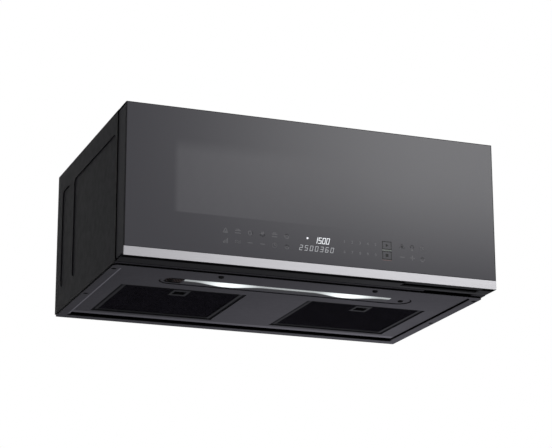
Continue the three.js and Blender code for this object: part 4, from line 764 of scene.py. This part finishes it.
def lit_lens():
    wiring = new_material("lit_lens")
    point, (x, y, _) = wiring.place()
    patch = 1 - wiring.eased(abs(abs(x) - LENS_GLOW_X), *LENS_GLOW_REACH)
    back = (y - LENS_FRONT_Y) * (1 / LENS_DEEP)
    # In front of its lit part the lens is painted dark grey: a painted shade from its recess.
    lit = 1 - wiring.eased(back - patch * PATCH_BACK, *LIT_BACK)
    frost = wiring.noise(point, scale=2200.0, detail=1.0)
    milky = wiring.mixed(frost, *LENS_MILK)
    glow = wiring.mixed(patch, LENS_LINE, LENS_BRIGHT)
    return surfaced(wiring, {
        "Base Color": wiring.mixed(lit, LENS_SHADE_GREY, milky),
        "Roughness": 0.55,
        "Emission Color": wiring.mixed(lit, (0, 0, 0), glow),
        "Emission Strength": 1.0,
        "Normal": wiring.bumps(frost, strength=0.3, distance=0.00003),
    })


def light_zones(wiring, x, y, z):
    """Painted shade round the cover, where it passes behind the pan, and its printed left end."""
    past_end = (abs(x) - LIGHT_AXIS_HALF) | 0.0
    across = y - LIGHT_AXIS_Y
    off_axis = wiring.add("Math", {"operation": "SQRT"}, {0: past_end * past_end + across * across})
    line = wiring.eased(off_axis, *COVER_LINE_R)
    printed = wiring.between(x, *PRINT_X, 0.0015) * (1 - wiring.eased(off_axis, *PRINT_R))
    return line | printed * PRINT_DARK, 0.0


def circuit_board(name, axis, face, parts_side):
    """Green board with tin tracks. What stands off its face is dark: relays, coils and cans."""
    wiring = new_material(name)
    point, place = wiring.place()
    tracks = wiring.add("TexBrick", {}, {
        "Vector": point, "Scale": 90.0, "Mortar Size": 0.02, "Mortar": BOARD_TIN,
        "Color1": BOARD_GREEN[0], "Color2": BOARD_GREEN[1],
    })
    shade, _ = wiring.cells(point, scale=45.0)
    parts = wiring.mixed(shade, *BOARD_PARTS)
    raised = wiring.eased((place[axis] - face) * parts_side, *PARTS_FROM)
    return surfaced(wiring, {"Base Color": wiring.mixed(raised, tracks, parts), "Roughness": 0.5})


finish(["light_cover"], painted_steel("light_paint", PAN_GREY, 0.5, 0.12, light_zones))
finish(["light_lens"], lit_lens())
finish(["led_board"], circuit_board("lamp_board", 2, LAMP_BOARD_FACE_Z, -1))
soften("light_cover", 0.0003)
soften("light_lens", 0.0004)

dots = bmesh.new()
for column in range(ENGRAVED_DOTS[0]):
    for row in range(ENGRAVED_DOTS[1]):
        at = (
            ENGRAVED_FROM[0] + (column + 0.5 * (row % 2)) * ENGRAVED_PITCH,
            ENGRAVED_FROM[1] + row * ENGRAVED_PITCH,
            ENGRAVED_FROM[2],
        )
        bmesh.ops.create_cone(
            dots, cap_ends=True, segments=ENGRAVED_SIDES, radius1=ENGRAVED_R, radius2=ENGRAVED_R,
            depth=ENGRAVED_DEPTH, matrix=Matrix.Translation(at),
        )
engraved = object_from(dots, "engraved_dots")
engraved.data.materials.append(painted_steel("print_grey", ENGRAVED_GREY, 0.5, 0.2))
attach(engraved, "cabinet")

# ---------------------------------------------------------------- oven and turntable
# The cavity is folded steel under pale speckled enamel. A mica sheet covers the port on its
# right, and a glass tray turns on a white ring with three wheels.

ENAMEL = (0.50, 0.49, 0.46)
ENAMEL_SPECK = (0.30, 0.29, 0.27)
MICA_PALE = (0.60, 0.53, 0.40)
MICA_DARK = (0.42, 0.34, 0.23)
TRAY_GREEN = ((0.86, 0.93, 0.91), (0.93, 0.97, 0.96))
TRAY_INDEX = 1.47
WHITE_PLASTIC = (0.66, 0.65, 0.62)
HOLLOW_BLACK = (0.0012, 0.0012, 0.0014)
WHITE_PIECES = [
    "turntable_coupler", "roller_ring", "roller_wheel_1", "roller_wheel_2", "roller_wheel_3",
    "cavity_lamp",
]


def speckled_enamel(name, colour, speck):
    wiring = new_material(name)
    point, _ = wiring.place()
    specks = wiring.noise(point, scale=900.0)
    ripple = wiring.noise(point, scale=90.0)
    return surfaced(wiring, {
        "Base Color": wiring.mixed(wiring.eased(specks, 0.60, 0.68), colour, speck),
        "Roughness": 0.3 + ripple * 0.12,
        "Normal": wiring.bumps(ripple, strength=0.25, distance=0.00008),
    })


def pressed_mica():
    wiring = new_material("pressed_mica")
    point, _ = wiring.place()
    flake, _ = wiring.cells(point, scale=240.0)
    return surfaced(wiring, {
        "Base Color": wiring.mixed(flake, MICA_DARK, MICA_PALE),
        "Roughness": 0.35 + flake * 0.3,
    })


def moulded(name, colour, roughness, grain_size=1400.0, specular=0.35, hollows=None):
    """Moulded plastic with the fine grain of its tool. hollows gives where it is in shade."""
    wiring = new_material(name)
    point, place = wiring.place()
    grain = wiring.noise(point, scale=grain_size)
    flow = wiring.noise(point, scale=14.0)
    tint = wiring.mixed(flow, level(colour, 0.88), level(colour, 1.1))
    mirror = 0.0
    if hollows:
        tint, mirror = shaded(wiring, tint, hollows(wiring, *place), HOLLOW_BLACK)
    return surfaced(wiring, {
        "Base Color": tint,
        "Metallic": mirror,
        "Roughness": roughness + grain * 0.1,
        "Specular IOR Level": specular,
        "Normal": wiring.bumps(grain, strength=0.4, distance=0.00003),
    })


def tray_glass():
    wiring = new_material("tray_glass")
    point, _ = wiring.place()
    film = wiring.noise(point, scale=40.0, detail=3.0)
    return surfaced(wiring, {
        "Base Color": wiring.mixed(film, *TRAY_GREEN),
        "Roughness": 0.02 + film * 0.05,
        "Transmission Weight": 0.85,
        "IOR": TRAY_INDEX,
    })


white_moulding = moulded("white_moulding", WHITE_PLASTIC, 0.42)
finish(["oven_cavity"], speckled_enamel("oven_enamel", ENAMEL, ENAMEL_SPECK))
finish(["mica_cover"], pressed_mica())
finish(["glass_tray"], tray_glass())
finish(WHITE_PIECES, white_moulding)
soften("oven_cavity", 0.0004)
shade_round("glass_tray", *WHITE_PIECES)

# ---------------------------------------------------------------- microwave source and supply
# Right of the oven stand the magnetron with its aluminium fins, the transformer of stacked
# laminations with enamelled windings, the capacitor's can and the power board.

PLAIN_STEEL = (0.46, 0.46, 0.47)
PLAIN_ALUMINIUM = (0.62, 0.63, 0.64)
COPPER_LIGHT = (0.52, 0.22, 0.09)
COPPER_DARK = (0.22, 0.08, 0.03)
CORE_DARK = (0.10, 0.10, 0.11)
CORE_LIGHT = (0.34, 0.33, 0.33)
POWER_BOARD_FACE_X = 0.3709
LAMINATION = 0.0005
WIRE_PITCH = 0.0012
WAVE_UNIT = 2 * math.pi / 20  # the pitch, in metres, of a wave texture's bands at scale 1


def rolled_metal(name, colour, roughness):
    wiring = new_material(name)
    point, _ = wiring.place()
    haze = wiring.noise(point, scale=25.0, detail=4.0)
    scratch = wiring.noise(point, scale=900.0, detail=3.0)
    return surfaced(wiring, {
        "Base Color": wiring.mixed(haze, level(colour, 0.8), colour),
        "Metallic": 1.0,
        "Roughness": roughness + scratch * 0.14,
    })


def banded(name, direction, pitch, low, high, metallic, roughness, depth):
    """Sheets or wires that lie side by side, a pitch apart."""
    wiring = new_material(name)
    point, _ = wiring.place()
    stacked = {"Vector": point, "Scale": WAVE_UNIT / pitch}
    bands = wiring.add("TexWave", {"bands_direction": direction}, stacked)
    paler = wiring.noise(point, scale=60.0, detail=3.0)
    return surfaced(wiring, {
        "Base Color": wiring.mixed(bands * 0.7 + paler * 0.3, low, high),
        "Metallic": metallic,
        "Roughness": roughness + paler * 0.15,
        "Normal": wiring.bumps(bands, strength=0.5, distance=depth),
    })


steel = rolled_metal("plain_steel", PLAIN_STEEL, 0.32)
aluminium = rolled_metal("plain_aluminium", PLAIN_ALUMINIUM, 0.3)
finish(["magnetron", "hv_capacitor"], aluminium)
finish(
    ["transformer_core"],
    banded("laminations", "Y", LAMINATION, CORE_DARK, CORE_LIGHT, 0.7, 0.4, 0.0001),
)
finish(
    ["transformer_coils"],
    banded("windings", "Z", WIRE_PITCH, COPPER_DARK, COPPER_LIGHT, 0.6, 0.35, 0.0003),
)
finish(["power_board"], circuit_board("power_board", 0, POWER_BOARD_FACE_X, -1))
shade_round("magnetron", "hv_capacitor", "power_board")
soften("transformer_core", 0.0006)
soften("transformer_coils", 0.0012)

# ---------------------------------------------------------------- fans
# A five-bladed fan cools the source. Behind the oven a shaded-pole motor between two sheet
# scrolls drives two white squirrel cages, and a flap in the collar above falls shut by itself.

MOTOR_DARK = (0.12, 0.12, 0.13)
MOTOR_LIGHT = (0.40, 0.40, 0.40)
FAN_WHITE = (0.56, 0.56, 0.55)
MOTORS = ["blower_motor", "cooling_motor"]
FANS = ["cooling_fan", "impeller_left", "impeller_right"]

finish(
    MOTORS,
    banded("motor_laminations", "X", LAMINATION, MOTOR_DARK, MOTOR_LIGHT, 0.8, 0.38, 0.00008),
)
finish(["blower_shaft"], steel)
finish(FANS, moulded("fan_moulding", FAN_WHITE, 0.45))
finish(["damper_flap"], aluminium)
shade_round("blower_shaft", *MOTORS, *FANS)
soften("damper_flap", 0.0002)

# ---------------------------------------------------------------- top outlet and grommet
# The moulded grille on the top lets recirculated air out through a tray of charcoal. A soft
# grommet near the rear keeps the sheet's edge off the supply lead.

BLACK_PLASTIC = (0.030, 0.030, 0.033)
RUBBER_BLACK = (0.018, 0.018, 0.018)
CHARCOAL = ((0.008, 0.008, 0.008), (0.035, 0.035, 0.036))
CHARCOAL_SCALE = 520.0


def charcoal_bed():
    wiring = new_material("charcoal_bed")
    point, _ = wiring.place()
    grains = wiring.add("TexVoronoi", {}, {"Vector": point, "Scale": CHARCOAL_SCALE})
    shade, _ = wiring.cells(point, CHARCOAL_SCALE)
    return surfaced(wiring, {
        "Base Color": wiring.mixed(shade, *CHARCOAL),
        "Roughness": 0.8,
        "Normal": wiring.bumps(grains, strength=0.9, distance=0.0008, invert=True),
    })


black_moulding = moulded("black_moulding", BLACK_PLASTIC, 0.5, specular=0.12)
finish(["vent_grille"], black_moulding)
finish(["charcoal_filter"], charcoal_bed())
finish(["cord_grommet"], moulded("soft_rubber", RUBBER_BLACK, 0.72, grain_size=600.0))
soften("vent_grille", 0.0003)
shade_round("cord_grommet")

# ---------------------------------------------------------------- door glass
# Tempered glass over the whole front, ground round its edge and printed black behind, but for
# the window, where the metal screen shows through as a paler field of fine dots.

GLASS_BLACK = (0.019, 0.018, 0.0265)
WINDOW_DARK = (0.036, 0.035, 0.044)
WINDOW_PALE = (0.064, 0.063, 0.073)
WINDOW_X = (-0.279, 0.169)
WINDOW_Z = (-0.0545, 0.0845)
WINDOW_SOFT = 0.007
WINDOW_FOOT_Z = (-0.0565, -0.0525)
WINDOW_HEAD_Z = (0.058, 0.094)
WINDOW_FADE_X = (-0.26, 0.11)
SCREEN_PITCH = 0.0021
GROUND_GLASS = ((0.010, 0.010, 0.011), (0.014, 0.014, 0.016))
GLASS_EDGE_X = 0.3762
GLASS_EDGE_Z = (-0.1290, 0.1484)


def screen_dots(wiring, x, z):
    """1 on the holes of the punched screen, 0 between them."""
    turn = math.pi / SCREEN_PITCH
    across = wiring.add("Math", {"operation": "SINE"}, {0: x * turn})
    up = wiring.add("Math", {"operation": "SINE"}, {0: z * turn})
    return wiring.eased(abs(across * up), 0.35, 0.6)


def door_black():
    wiring = new_material("door_black")
    point, (x, _, z) = wiring.place()
    window = wiring.between(x, *WINDOW_X, WINDOW_SOFT) * wiring.eased(z, *WINDOW_FOOT_Z)
    window = window * (1 - wiring.eased(z, *WINDOW_HEAD_Z)) * (1 - wiring.eased(x, *WINDOW_FADE_X))
    dots = screen_dots(wiring, x, z)
    behind = wiring.mixed(dots, WINDOW_DARK, WINDOW_PALE)
    film = wiring.noise(point, scale=7.0, detail=3.0)
    glossy = wiring.add("BsdfPrincipled", {}, {
        "Base Color": wiring.mixed(window, GLASS_BLACK, behind),
        "Roughness": 0.07 + film * 0.06,
        "IOR": 1.5,
    })
    ground = wiring.add("BsdfPrincipled", {}, {
        "Base Color": wiring.mixed(film, *GROUND_GLASS),
        "Roughness": 0.5,
        "Specular IOR Level": 0.1,
    })
    inside = wiring.between(x, -GLASS_EDGE_X, GLASS_EDGE_X, 0.0003)
    inside = inside * wiring.between(z, *GLASS_EDGE_Z, 0.0003)
    return surfaced(wiring, {0: inside, 1: ground, 2: glossy}, "MixShader")


finish(["door_glass"], door_black())
soften("door_glass", 0.0008, 3)

# ---------------------------------------------------------------- steel strip
# A folded strip of stainless steel closes the glass's lower edge. It is brushed along its
# length, and painted a little darker towards its left end: a painted shade.

STRIP_ENDS = ((0.345, 0.340, 0.358), (0.380, 0.376, 0.394))
STRIP_SHADE_X = (-0.42, -0.10)


def brushed_strip():
    wiring = new_material("brushed_strip")
    point, (x, y, z) = wiring.place()
    stretched = wiring.add("CombineXYZ", {}, {0: x * 9, 1: y * 2600, 2: z * 2600})
    hairs = wiring.noise(stretched, scale=1.0, detail=4.0)
    broad = wiring.noise(point, scale=6.0)
    tone = hairs * 0.75 + broad * 0.25
    along = wiring.eased(x, *STRIP_SHADE_X)
    dull, bright = (
        wiring.mixed(along, *(level(end, share) for end in STRIP_ENDS)) for share in (0.84, 1.14)
    )
    return surfaced(wiring, {
        "Base Color": wiring.mixed(tone, dull, bright),
        "Metallic": 1.0,
        "Roughness": 0.24 + hairs * 0.14,
        "Normal": wiring.bumps(hairs, strength=0.25, distance=0.00002),
    })


finish(["steel_trim"], brushed_strip())
soften("steel_trim", 0.0003)

# ---------------------------------------------------------------- door frame and screen
# Behind the glass a black moulding carries the pocket and the latch, with a thin cover over
# each hinge corner. The punched steel screen, its choke channel and a clear pane close the
# door towards the oven.

SCREEN_GREY = ((0.20, 0.20, 0.195), (0.26, 0.255, 0.245))
HOLE_BLACK = (0.008, 0.008, 0.009)
CHOKE_BLACK = (0.008, 0.008, 0.009)
PANE_X = (-0.295, 0.185)
PANE_Z = (-0.0885, 0.1065)
PANE_BORDER = 0.010
PANE_PRINT = (0.01, 0.01, 0.011)
PANE_TINT = (0.30, 0.34, 0.34)
PANE_CLEAR = 0.82
UNDERSIDE_Z = (-0.1467, -0.1462)
UNDERSIDE_FADE_X = (0.02, 0.17)
UNDERSIDE_SHADE = 0.43
UNDERSIDE_FADE = 0.22
FRONT_LIP_Y = (-0.4818, -0.4795)
POCKET_X = (0.1875, 0.3505)
POCKET_Y = (-0.4835, -0.4600)
POCKET_Z = (-0.1446, -0.1235)
POCKET_LIP_LIT = 0.6
BAR_FROM_Y = (-0.4625, -0.4617)
BAR_LIT = 0.9
COVER_X = (-0.3780, -0.3556)
COVER_Y = (-0.4904, -0.4492)
COVER_Z = (("bottom", (-0.1470, -0.1462)), ("top", (0.1492, 0.1500)))
COVER_EDGE = 0.0002
TOUCH_BOARD_FACE_Y = -0.4921


def punched_screen():
    wiring = new_material("punched_screen")
    point, (x, _, z) = wiring.place()
    window = wiring.between(x, *WINDOW_X, 0.0005) * wiring.between(z, *WINDOW_Z, 0.0005)
    dots = screen_dots(wiring, x, z) * window
    specks = wiring.noise(point, scale=900.0)
    paint = wiring.mixed(specks, *SCREEN_GREY)
    return surfaced(wiring, {
        "Base Color": wiring.mixed(dots, paint, HOLE_BLACK),
        "Roughness": 0.35 + specks * 0.1,
    })


def bordered_pane():
    """Clear in the middle, with a black printed border."""
    wiring = new_material("bordered_pane")
    point, (x, _, z) = wiring.place()
    clear = wiring.between(x, PANE_X[0] + PANE_BORDER, PANE_X[1] - PANE_BORDER, 0.0003)
    clear = clear * wiring.between(z, PANE_Z[0] + PANE_BORDER, PANE_Z[1] - PANE_BORDER, 0.0003)
    film = wiring.noise(point, scale=12.0, detail=3.0)
    return surfaced(wiring, {
        "Base Color": wiring.mixed(clear, PANE_PRINT, PANE_TINT),
        "Alpha": 1 - clear * PANE_CLEAR,
        "Roughness": 0.05 + film * 0.08,
    })


def frame_hollows(wiring, x, y, z):
    """The underside is in shade, and the finger pocket is darkest."""
    below = 1 - wiring.eased(z, *UNDERSIDE_Z)
    at_pocket = wiring.between(x, *POCKET_X, 0.0005)
    lip = (1 - wiring.eased(y, *FRONT_LIP_Y)) * (1 - at_pocket * POCKET_LIP_LIT)
    in_depth = wiring.between(y, *POCKET_Y, 0.0005) * wiring.between(z, *POCKET_Z, 0.0005)
    bar = wiring.eased(x, POCKET_X[0] - 0.001, POCKET_X[0]) * wiring.eased(y, *BAR_FROM_Y)
    shade = UNDERSIDE_SHADE - wiring.eased(x, *UNDERSIDE_FADE_X) * UNDERSIDE_FADE
    return below * (shade * (1 - bar * BAR_LIT) | lip) | at_pocket * in_depth


frame_moulding = moulded(
    "frame_moulding", BLACK_PLASTIC, 0.5, specular=0.12, hollows=frame_hollows
)
finish(["door_frame"], frame_moulding)
for end, cover_z in COVER_Z:
    low, high = zip(COVER_X, COVER_Y, cover_z)
    cover = object_from(box_mesh(low, high), f"hinge_cover_{end}")
    cover.data.materials.append(frame_moulding)
    edges = cover.modifiers.new("edges", "BEVEL")
    edges.width = COVER_EDGE
    edges.segments = 2
    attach(cover, "door")
finish(["choke_cover"], moulded("cover_moulding", CHOKE_BLACK, 0.5, specular=0.2))
finish(["door_choke"], punched_screen())
finish(["inner_window"], bordered_pane())
finish(["hinge_bush_bottom", "hinge_bush_top"], white_moulding)
finish(["touch_board"], circuit_board("touch_board", 1, TOUCH_BOARD_FACE_Y, 1))
soften("door_frame", 0.0008)
soften("choke_cover", 0.0005)
soften("door_choke", 0.0004)
soften("inner_window", 0.0003)
shade_round("hinge_bush_bottom", "hinge_bush_top")

# ---------------------------------------------------------------- touch keys and display
# Keys are thin prints on the glass, without travel: small pictures at the left, numbers right
# of the display, two framed keys and six more pictures. The display's bars are lit.

KEY_GREY = (0.105, 0.105, 0.115)
NUMBER_GREY = (0.10, 0.10, 0.11)
OUTLINE_GREY = (0.030, 0.031, 0.030)
GO_GREEN = (0.14, 0.17, 0.14)
STOP_RED = (0.10, 0.045, 0.045)
TIME_WHITE = (0.92, 0.95, 1.0)
LINE_GREY = (0.36, 0.37, 0.40)
BAR_GREY = (0.2, 0.2, 0.2)
GLASS_FRONT = -0.498
PRINT_DEPTH = 0.00006
MARKS_ZERO = 151  # the marks' heights are in mm from the cabinet's lower edge, this far below 0
PICTURE_X = (-182, -157.6, -133.2, -108.8, -84.4, -60)
PICTURE_Z = (69, 49.6)
PICTURE_HALF = 5.4
PICTURE_LINE = 1.05
NUMBER_X = (57.5, 73.6, 89.7, 105.8, 121.9)
NUMBER_Z = (70.5, 50.2)
NUMBER_HIGH = 5.6
CAPITAL_SHARE = 0.72
FRAME_X = 145.7
FRAME_HALF = (9.0, 7.4)
FRAME_LINE = 1.4
UNDERLINE_BELOW = 2.2
UNDERLINE = 1.2
GO_SIGN = ((-2.2, -3.4), (3.6, 0), (-2.2, 3.4))
STOP_SIGN = ((-3, -3), (3, -3), (3, 3), (-3, 3))
FRAME_KEYS = ((71.3, "go", GO_SIGN, GO_GREEN), (51.5, "stop", STOP_SIGN, STOP_RED))
BLOCK_X = (177.5, 199, 220.5)
BLOCK_Z = (71.8, 51.2)
TIME_X = (-0.5, 7.6, 15.6, 23.6)
TIME_Z = 67.5
TIME_BAR = (5.1, 11.0, 1.15)
TIME_DOT = (-18, 70, 2)
LINE_X = (-31, -20.5, -10, 0.5, 11, 21.5, 32)
LINE_Z = 50.6
LINE_BAR = (5.2, 9.5, 0.8)
LEAN = 0.22


class Marks:
    """Flat marks of one colour on the front of the glass, in millimetres."""

    def __init__(self):
        self.mesh = bmesh.new()

    def corner(self, x, z):
        return self.mesh.verts.new((x / 1000, GLASS_FRONT, (z - MARKS_ZERO) / 1000))

    def plate(self, points):
        self.mesh.faces.new([self.corner(x, z) for x, z in points])

    def stroke(self, points, width):
        """A line of even width through the points."""
        for (x0, z0), (x1, z1) in zip(points, points[1:]):
            length = math.hypot(x1 - x0, z1 - z0)
            along = ((x1 - x0) / length * width / 2, (z1 - z0) / length * width / 2)
            self.plate([
                (x0 - along[0] + along[1], z0 - along[1] - along[0]),
                (x1 + along[0] + along[1], z1 + along[1] - along[0]),
                (x1 + along[0] - along[1], z1 + along[1] + along[0]),
                (x0 - along[0] - along[1], z0 - along[1] + along[0]),
            ])

    def picture(self, strokes, x, z):
        for points in strokes:
            spots = [(x + u * PICTURE_HALF, z + v * PICTURE_HALF) for u, v in points]
            self.stroke(spots, PICTURE_LINE)

    def digits(self, number, x, z, high):
        """A plain printed number from the built-in face."""
        curve = bpy.data.curves.new("digits", "FONT")
        curve.body, curve.resolution_u = number, 3
        curve.align_x, curve.align_y = "CENTER", "CENTER"
        lettering = bpy.data.objects.new("digits", curve)
        flat = bpy.data.meshes.new_from_object(lettering)
        size = high / 1000 / CAPITAL_SHARE
        place = Matrix.Translation((x / 1000, GLASS_FRONT, (z - MARKS_ZERO) / 1000))
        flat.transform(place @ Matrix.Rotation(math.pi / 2, 4, "X") @ Matrix.Scale(size, 4))
        self.mesh.from_mesh(flat)
        bpy.data.objects.remove(lettering)

    def done(self, name, material):
        made = object_from(self.mesh, name)
        made.data.materials.append(material)
        thick = made.modifiers.new("print", "SOLIDIFY")
        thick.thickness = PRINT_DEPTH
        thick.offset = 0.0
        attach(made, "door")


def arc(u, v, radius, start=0, end=360, steps=14):
    turns = [math.radians(start + (end - start) * step / steps) for step in range(steps + 1)]
    return [(u + radius * math.cos(turn), v + radius * math.sin(turn)) for turn in turns]


BOWL = [
    arc(0, 0.1, 0.85, 180, 360), [(-0.95, 0.1), (0.95, 0.1)],
    [(-0.3, 0.4), (-0.15, 0.8)], [(0.2, 0.4), (0.35, 0.8)],
]
SLICE = [[(-0.9, -0.7), (0, 0.95), (0.9, -0.7), (-0.9, -0.7)], [(-0.4, -0.3), (0.4, -0.3)]]
CUP = [
    [(-0.7, 0.6), (-0.55, -0.75), (0.35, -0.75), (0.5, 0.6), (-0.7, 0.6)],
    arc(0.55, 0, 0.35, -80, 80, 6),
]
STACK = [[(-0.95, v), (0.95, v)] for v in (-0.5, 0.4)] + [[(-0.5, 0.85), (0.5, 0.85)]]
POT = [
    [(-0.7, 0.35), (-0.7, -0.6), (0.7, -0.6), (0.7, 0.35)], [(-1, 0.35), (1, 0.35)],
    arc(0, 0.35, 0.5, 0, 180, 8),
]
CLOCK = [arc(0, 0, 0.9), [(0, 0.55), (0, 0), (0.4, -0.2)]]
BLADES = [arc(0, 0, 0.22, steps=6)] + [
    arc(0.55 * math.cos(a), 0.55 * math.sin(a), 0.34, steps=8) for a in (1.57, 3.67, 5.76)
]
LAMP = [
    arc(0, 0.25, 0.6, -50, 230), [(-0.38, -0.2), (-0.3, -0.65), (0.3, -0.65), (0.38, -0.2)],
    [(-0.2, -0.95), (0.2, -0.95)],
]
LOCK = [
    [(-0.6, -0.85), (0.6, -0.85), (0.6, 0.1), (-0.6, 0.1), (-0.6, -0.85)],
    arc(0, 0.1, 0.42, 0, 180, 8),
]
BARS = [
    [(u, -0.8), (u, -0.8 + tall)]
    for u, tall in ((-0.75, 0.5), (-0.25, 0.9), (0.25, 1.25), (0.75, 1.6))
]
WAVES = [[(-0.9, v), (-0.45, v + 0.22), (0, v), (0.45, v - 0.22), (0.9, v)] for v in (-0.3, 0.3)]
MINUS = [[(-0.8, 0), (0.8, 0)]]
PLUS = [[(-0.8, 0), (0.8, 0)], [(0, -0.8), (0, 0.8)]]
BAR_CORNERS = {
    "a": ((0, 1), (1, 1)), "b": ((1, 1), (1, 0.5)), "c": ((1, 0.5), (1, 0)), "d": ((1, 0), (0, 0)),
    "e": ((0, 0), (0, 0.5)), "f": ((0, 0.5), (0, 1)), "g": ((0, 0.5), (1, 0.5)),
}
LIT_BARS = {
    "0": "abcdef", "1": "bc", "2": "abged", "3": "abgcd", "4": "fgbc", "5": "afgcd",
    "6": "afgedc", "7": "abc", "8": "abcdefg", "9": "abcdfg",
}


def lit_number(marks, number, x, z, wide, high, line):
    for bar in LIT_BARS[number]:
        marks.stroke(
            [(x + (u - 0.5) * wide + (v - 0.5) * high * LEAN, z + (v - 0.5) * high)
             for u, v in BAR_CORNERS[bar]],
            line,
        )


def glass_print(name, colour):
    wiring = new_material(name)
    point, _ = wiring.place()
    ink = wiring.noise(point, scale=1200.0)
    return surfaced(wiring, {
        "Base Color": wiring.mixed(ink, level(colour, 0.8), level(colour, 1.2)),
        "Roughness": 0.14,
    })


def lit_bars(name, colour):
    wiring = new_material(name)
    point, _ = wiring.place()
    flicker = wiring.noise(point, scale=300.0, detail=1.0)
    return surfaced(wiring, {
        "Base Color": BAR_GREY,
        "Roughness": 0.3,
        "Emission Color": wiring.mixed(flicker, level(colour, 0.85), colour),
        "Emission Strength": 1.0,
    })


PICTURE_KEYS = (
    (SLICE, BARS), (STACK, WAVES), (CUP, MINUS), (BOWL, MINUS), (STACK, CLOCK), (POT, LOCK),
)
BLOCK_KEYS = ((BLADES, MINUS), (LAMP, PLUS), (CLOCK, LOCK))

pictures = Marks()
for columns, rows, keys in (PICTURE_X, PICTURE_Z, PICTURE_KEYS), (BLOCK_X, BLOCK_Z, BLOCK_KEYS):
    for x, pair in zip(columns, keys):
        for z, strokes in zip(rows, pair):
            pictures.picture(strokes, x, z)
pictures.done("key_pictures", glass_print("key_grey", KEY_GREY))

numbers = Marks()
for index, number in enumerate("1234567890"):
    numbers.digits(number, NUMBER_X[index % 5], NUMBER_Z[index // 5], NUMBER_HIGH)
numbers.done("key_numbers", glass_print("number_grey", NUMBER_GREY))

frames = Marks()
half_x, half_z = FRAME_HALF
for middle, key, sign, ink in FRAME_KEYS:
    corners = [(-half_x, -half_z), (half_x, -half_z), (half_x, half_z), (-half_x, half_z)]
    frames.stroke([(FRAME_X + u, middle + v) for u, v in [*corners, corners[0]]], FRAME_LINE)
    frames.plate([(FRAME_X + u, middle + v) for u, v in sign])
    underline = Marks()
    below = middle - half_z - UNDERLINE_BELOW
    underline.stroke([(FRAME_X - half_x, below), (FRAME_X + half_x, below)], UNDERLINE)
    underline.done(f"key_line_{key}", glass_print(f"line_{key}", ink))
outline_paint = painted_steel("key_outline", OUTLINE_GREY, 0.5, 0.1)
frames.done("key_frames", outline_paint)

clock_bars = Marks()
for number, x in zip("1500", TIME_X):
    lit_number(clock_bars, number, x, TIME_Z, *TIME_BAR)
clock_bars.plate(arc(*TIME_DOT, 0, 330, 11))
clock_bars.done("display_time", lit_bars("bright_bars", TIME_WHITE))

line_bars = Marks()
for number, x in zip("2500360", LINE_X):
    lit_number(line_bars, number, x, LINE_Z, *LINE_BAR)
line_bars.done("display_line", lit_bars("faint_bars", LINE_GREY))

# ---------------------------------------------------------------- latch and hinges
# White acetal hooks on an upright bar enter the cabinet through the face plate and press two
# small switches. Steel brackets above and below, painted black, carry the door's pins.

BRACKET_BLACK = (0.0175, 0.0175, 0.019)
SPRING_WIRE = 0.0005
SPRING_TURNS = 9
SPRING_STEPS = 20
SPRING_SIDES = 8


def coil(name, low, high):
    """Round wire wound upright between two corners."""
    shape = bmesh.new()
    radius = (high[0] - low[0]) / 2 - SPRING_WIRE
    middle = [(a + b) / 2 for a, b in zip(low, high)]
    climb = high[2] - low[2] - 2 * SPRING_WIRE
    rows = SPRING_TURNS * SPRING_STEPS
    rings = []
    for row in range(rows + 1):
        turn = 2 * math.pi * row / SPRING_STEPS
        ring = []
        for side in range(SPRING_SIDES):
            around = 2 * math.pi * side / SPRING_SIDES
            out = radius + SPRING_WIRE * math.cos(around)
            up = low[2] + SPRING_WIRE + climb * row / rows + SPRING_WIRE * math.sin(around)
            at = (middle[0] + out * math.cos(turn), middle[1] + out * math.sin(turn), up)
            ring.append(shape.verts.new(at))
        rings.append(ring)
    for near, far in zip(rings, rings[1:]):
        for side in range(SPRING_SIDES):
            after = (side + 1) % SPRING_SIDES
            shape.faces.new((near[side], far[side], far[after], near[after]))
    shape.faces.new(rings[0])
    shape.faces.new(list(reversed(rings[-1])))
    made = object_from(shape, name)
    made.data.shade_smooth()
    made.data.materials.append(steel)
    return made


spring_low, spring_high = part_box("latch_spring")
spring = coil("latch_coil", spring_low, spring_high)
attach(spring, "door")
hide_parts("latch_spring")
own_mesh(spring)

finish(["latch_board", "interlock_switch_lower", "interlock_switch_upper"], black_moulding)
finish(["latch_hooks", "switch_plunger_lower", "switch_plunger_upper"], white_moulding)
finish(["latch_spring"], steel)
brackets = ["hinge_bracket_bottom", "hinge_bracket_top"]
finish(brackets, painted_steel("bracket_paint", BRACKET_BLACK, 0.5, 0.06))
soften("latch_hooks", 0.0006)
soften("latch_board", 0.0004)
shade_round(*brackets)
for end in ("lower", "upper"):
    soften(f"interlock_switch_{end}", 0.0003)
    soften(f"switch_plunger_{end}", 0.0003)
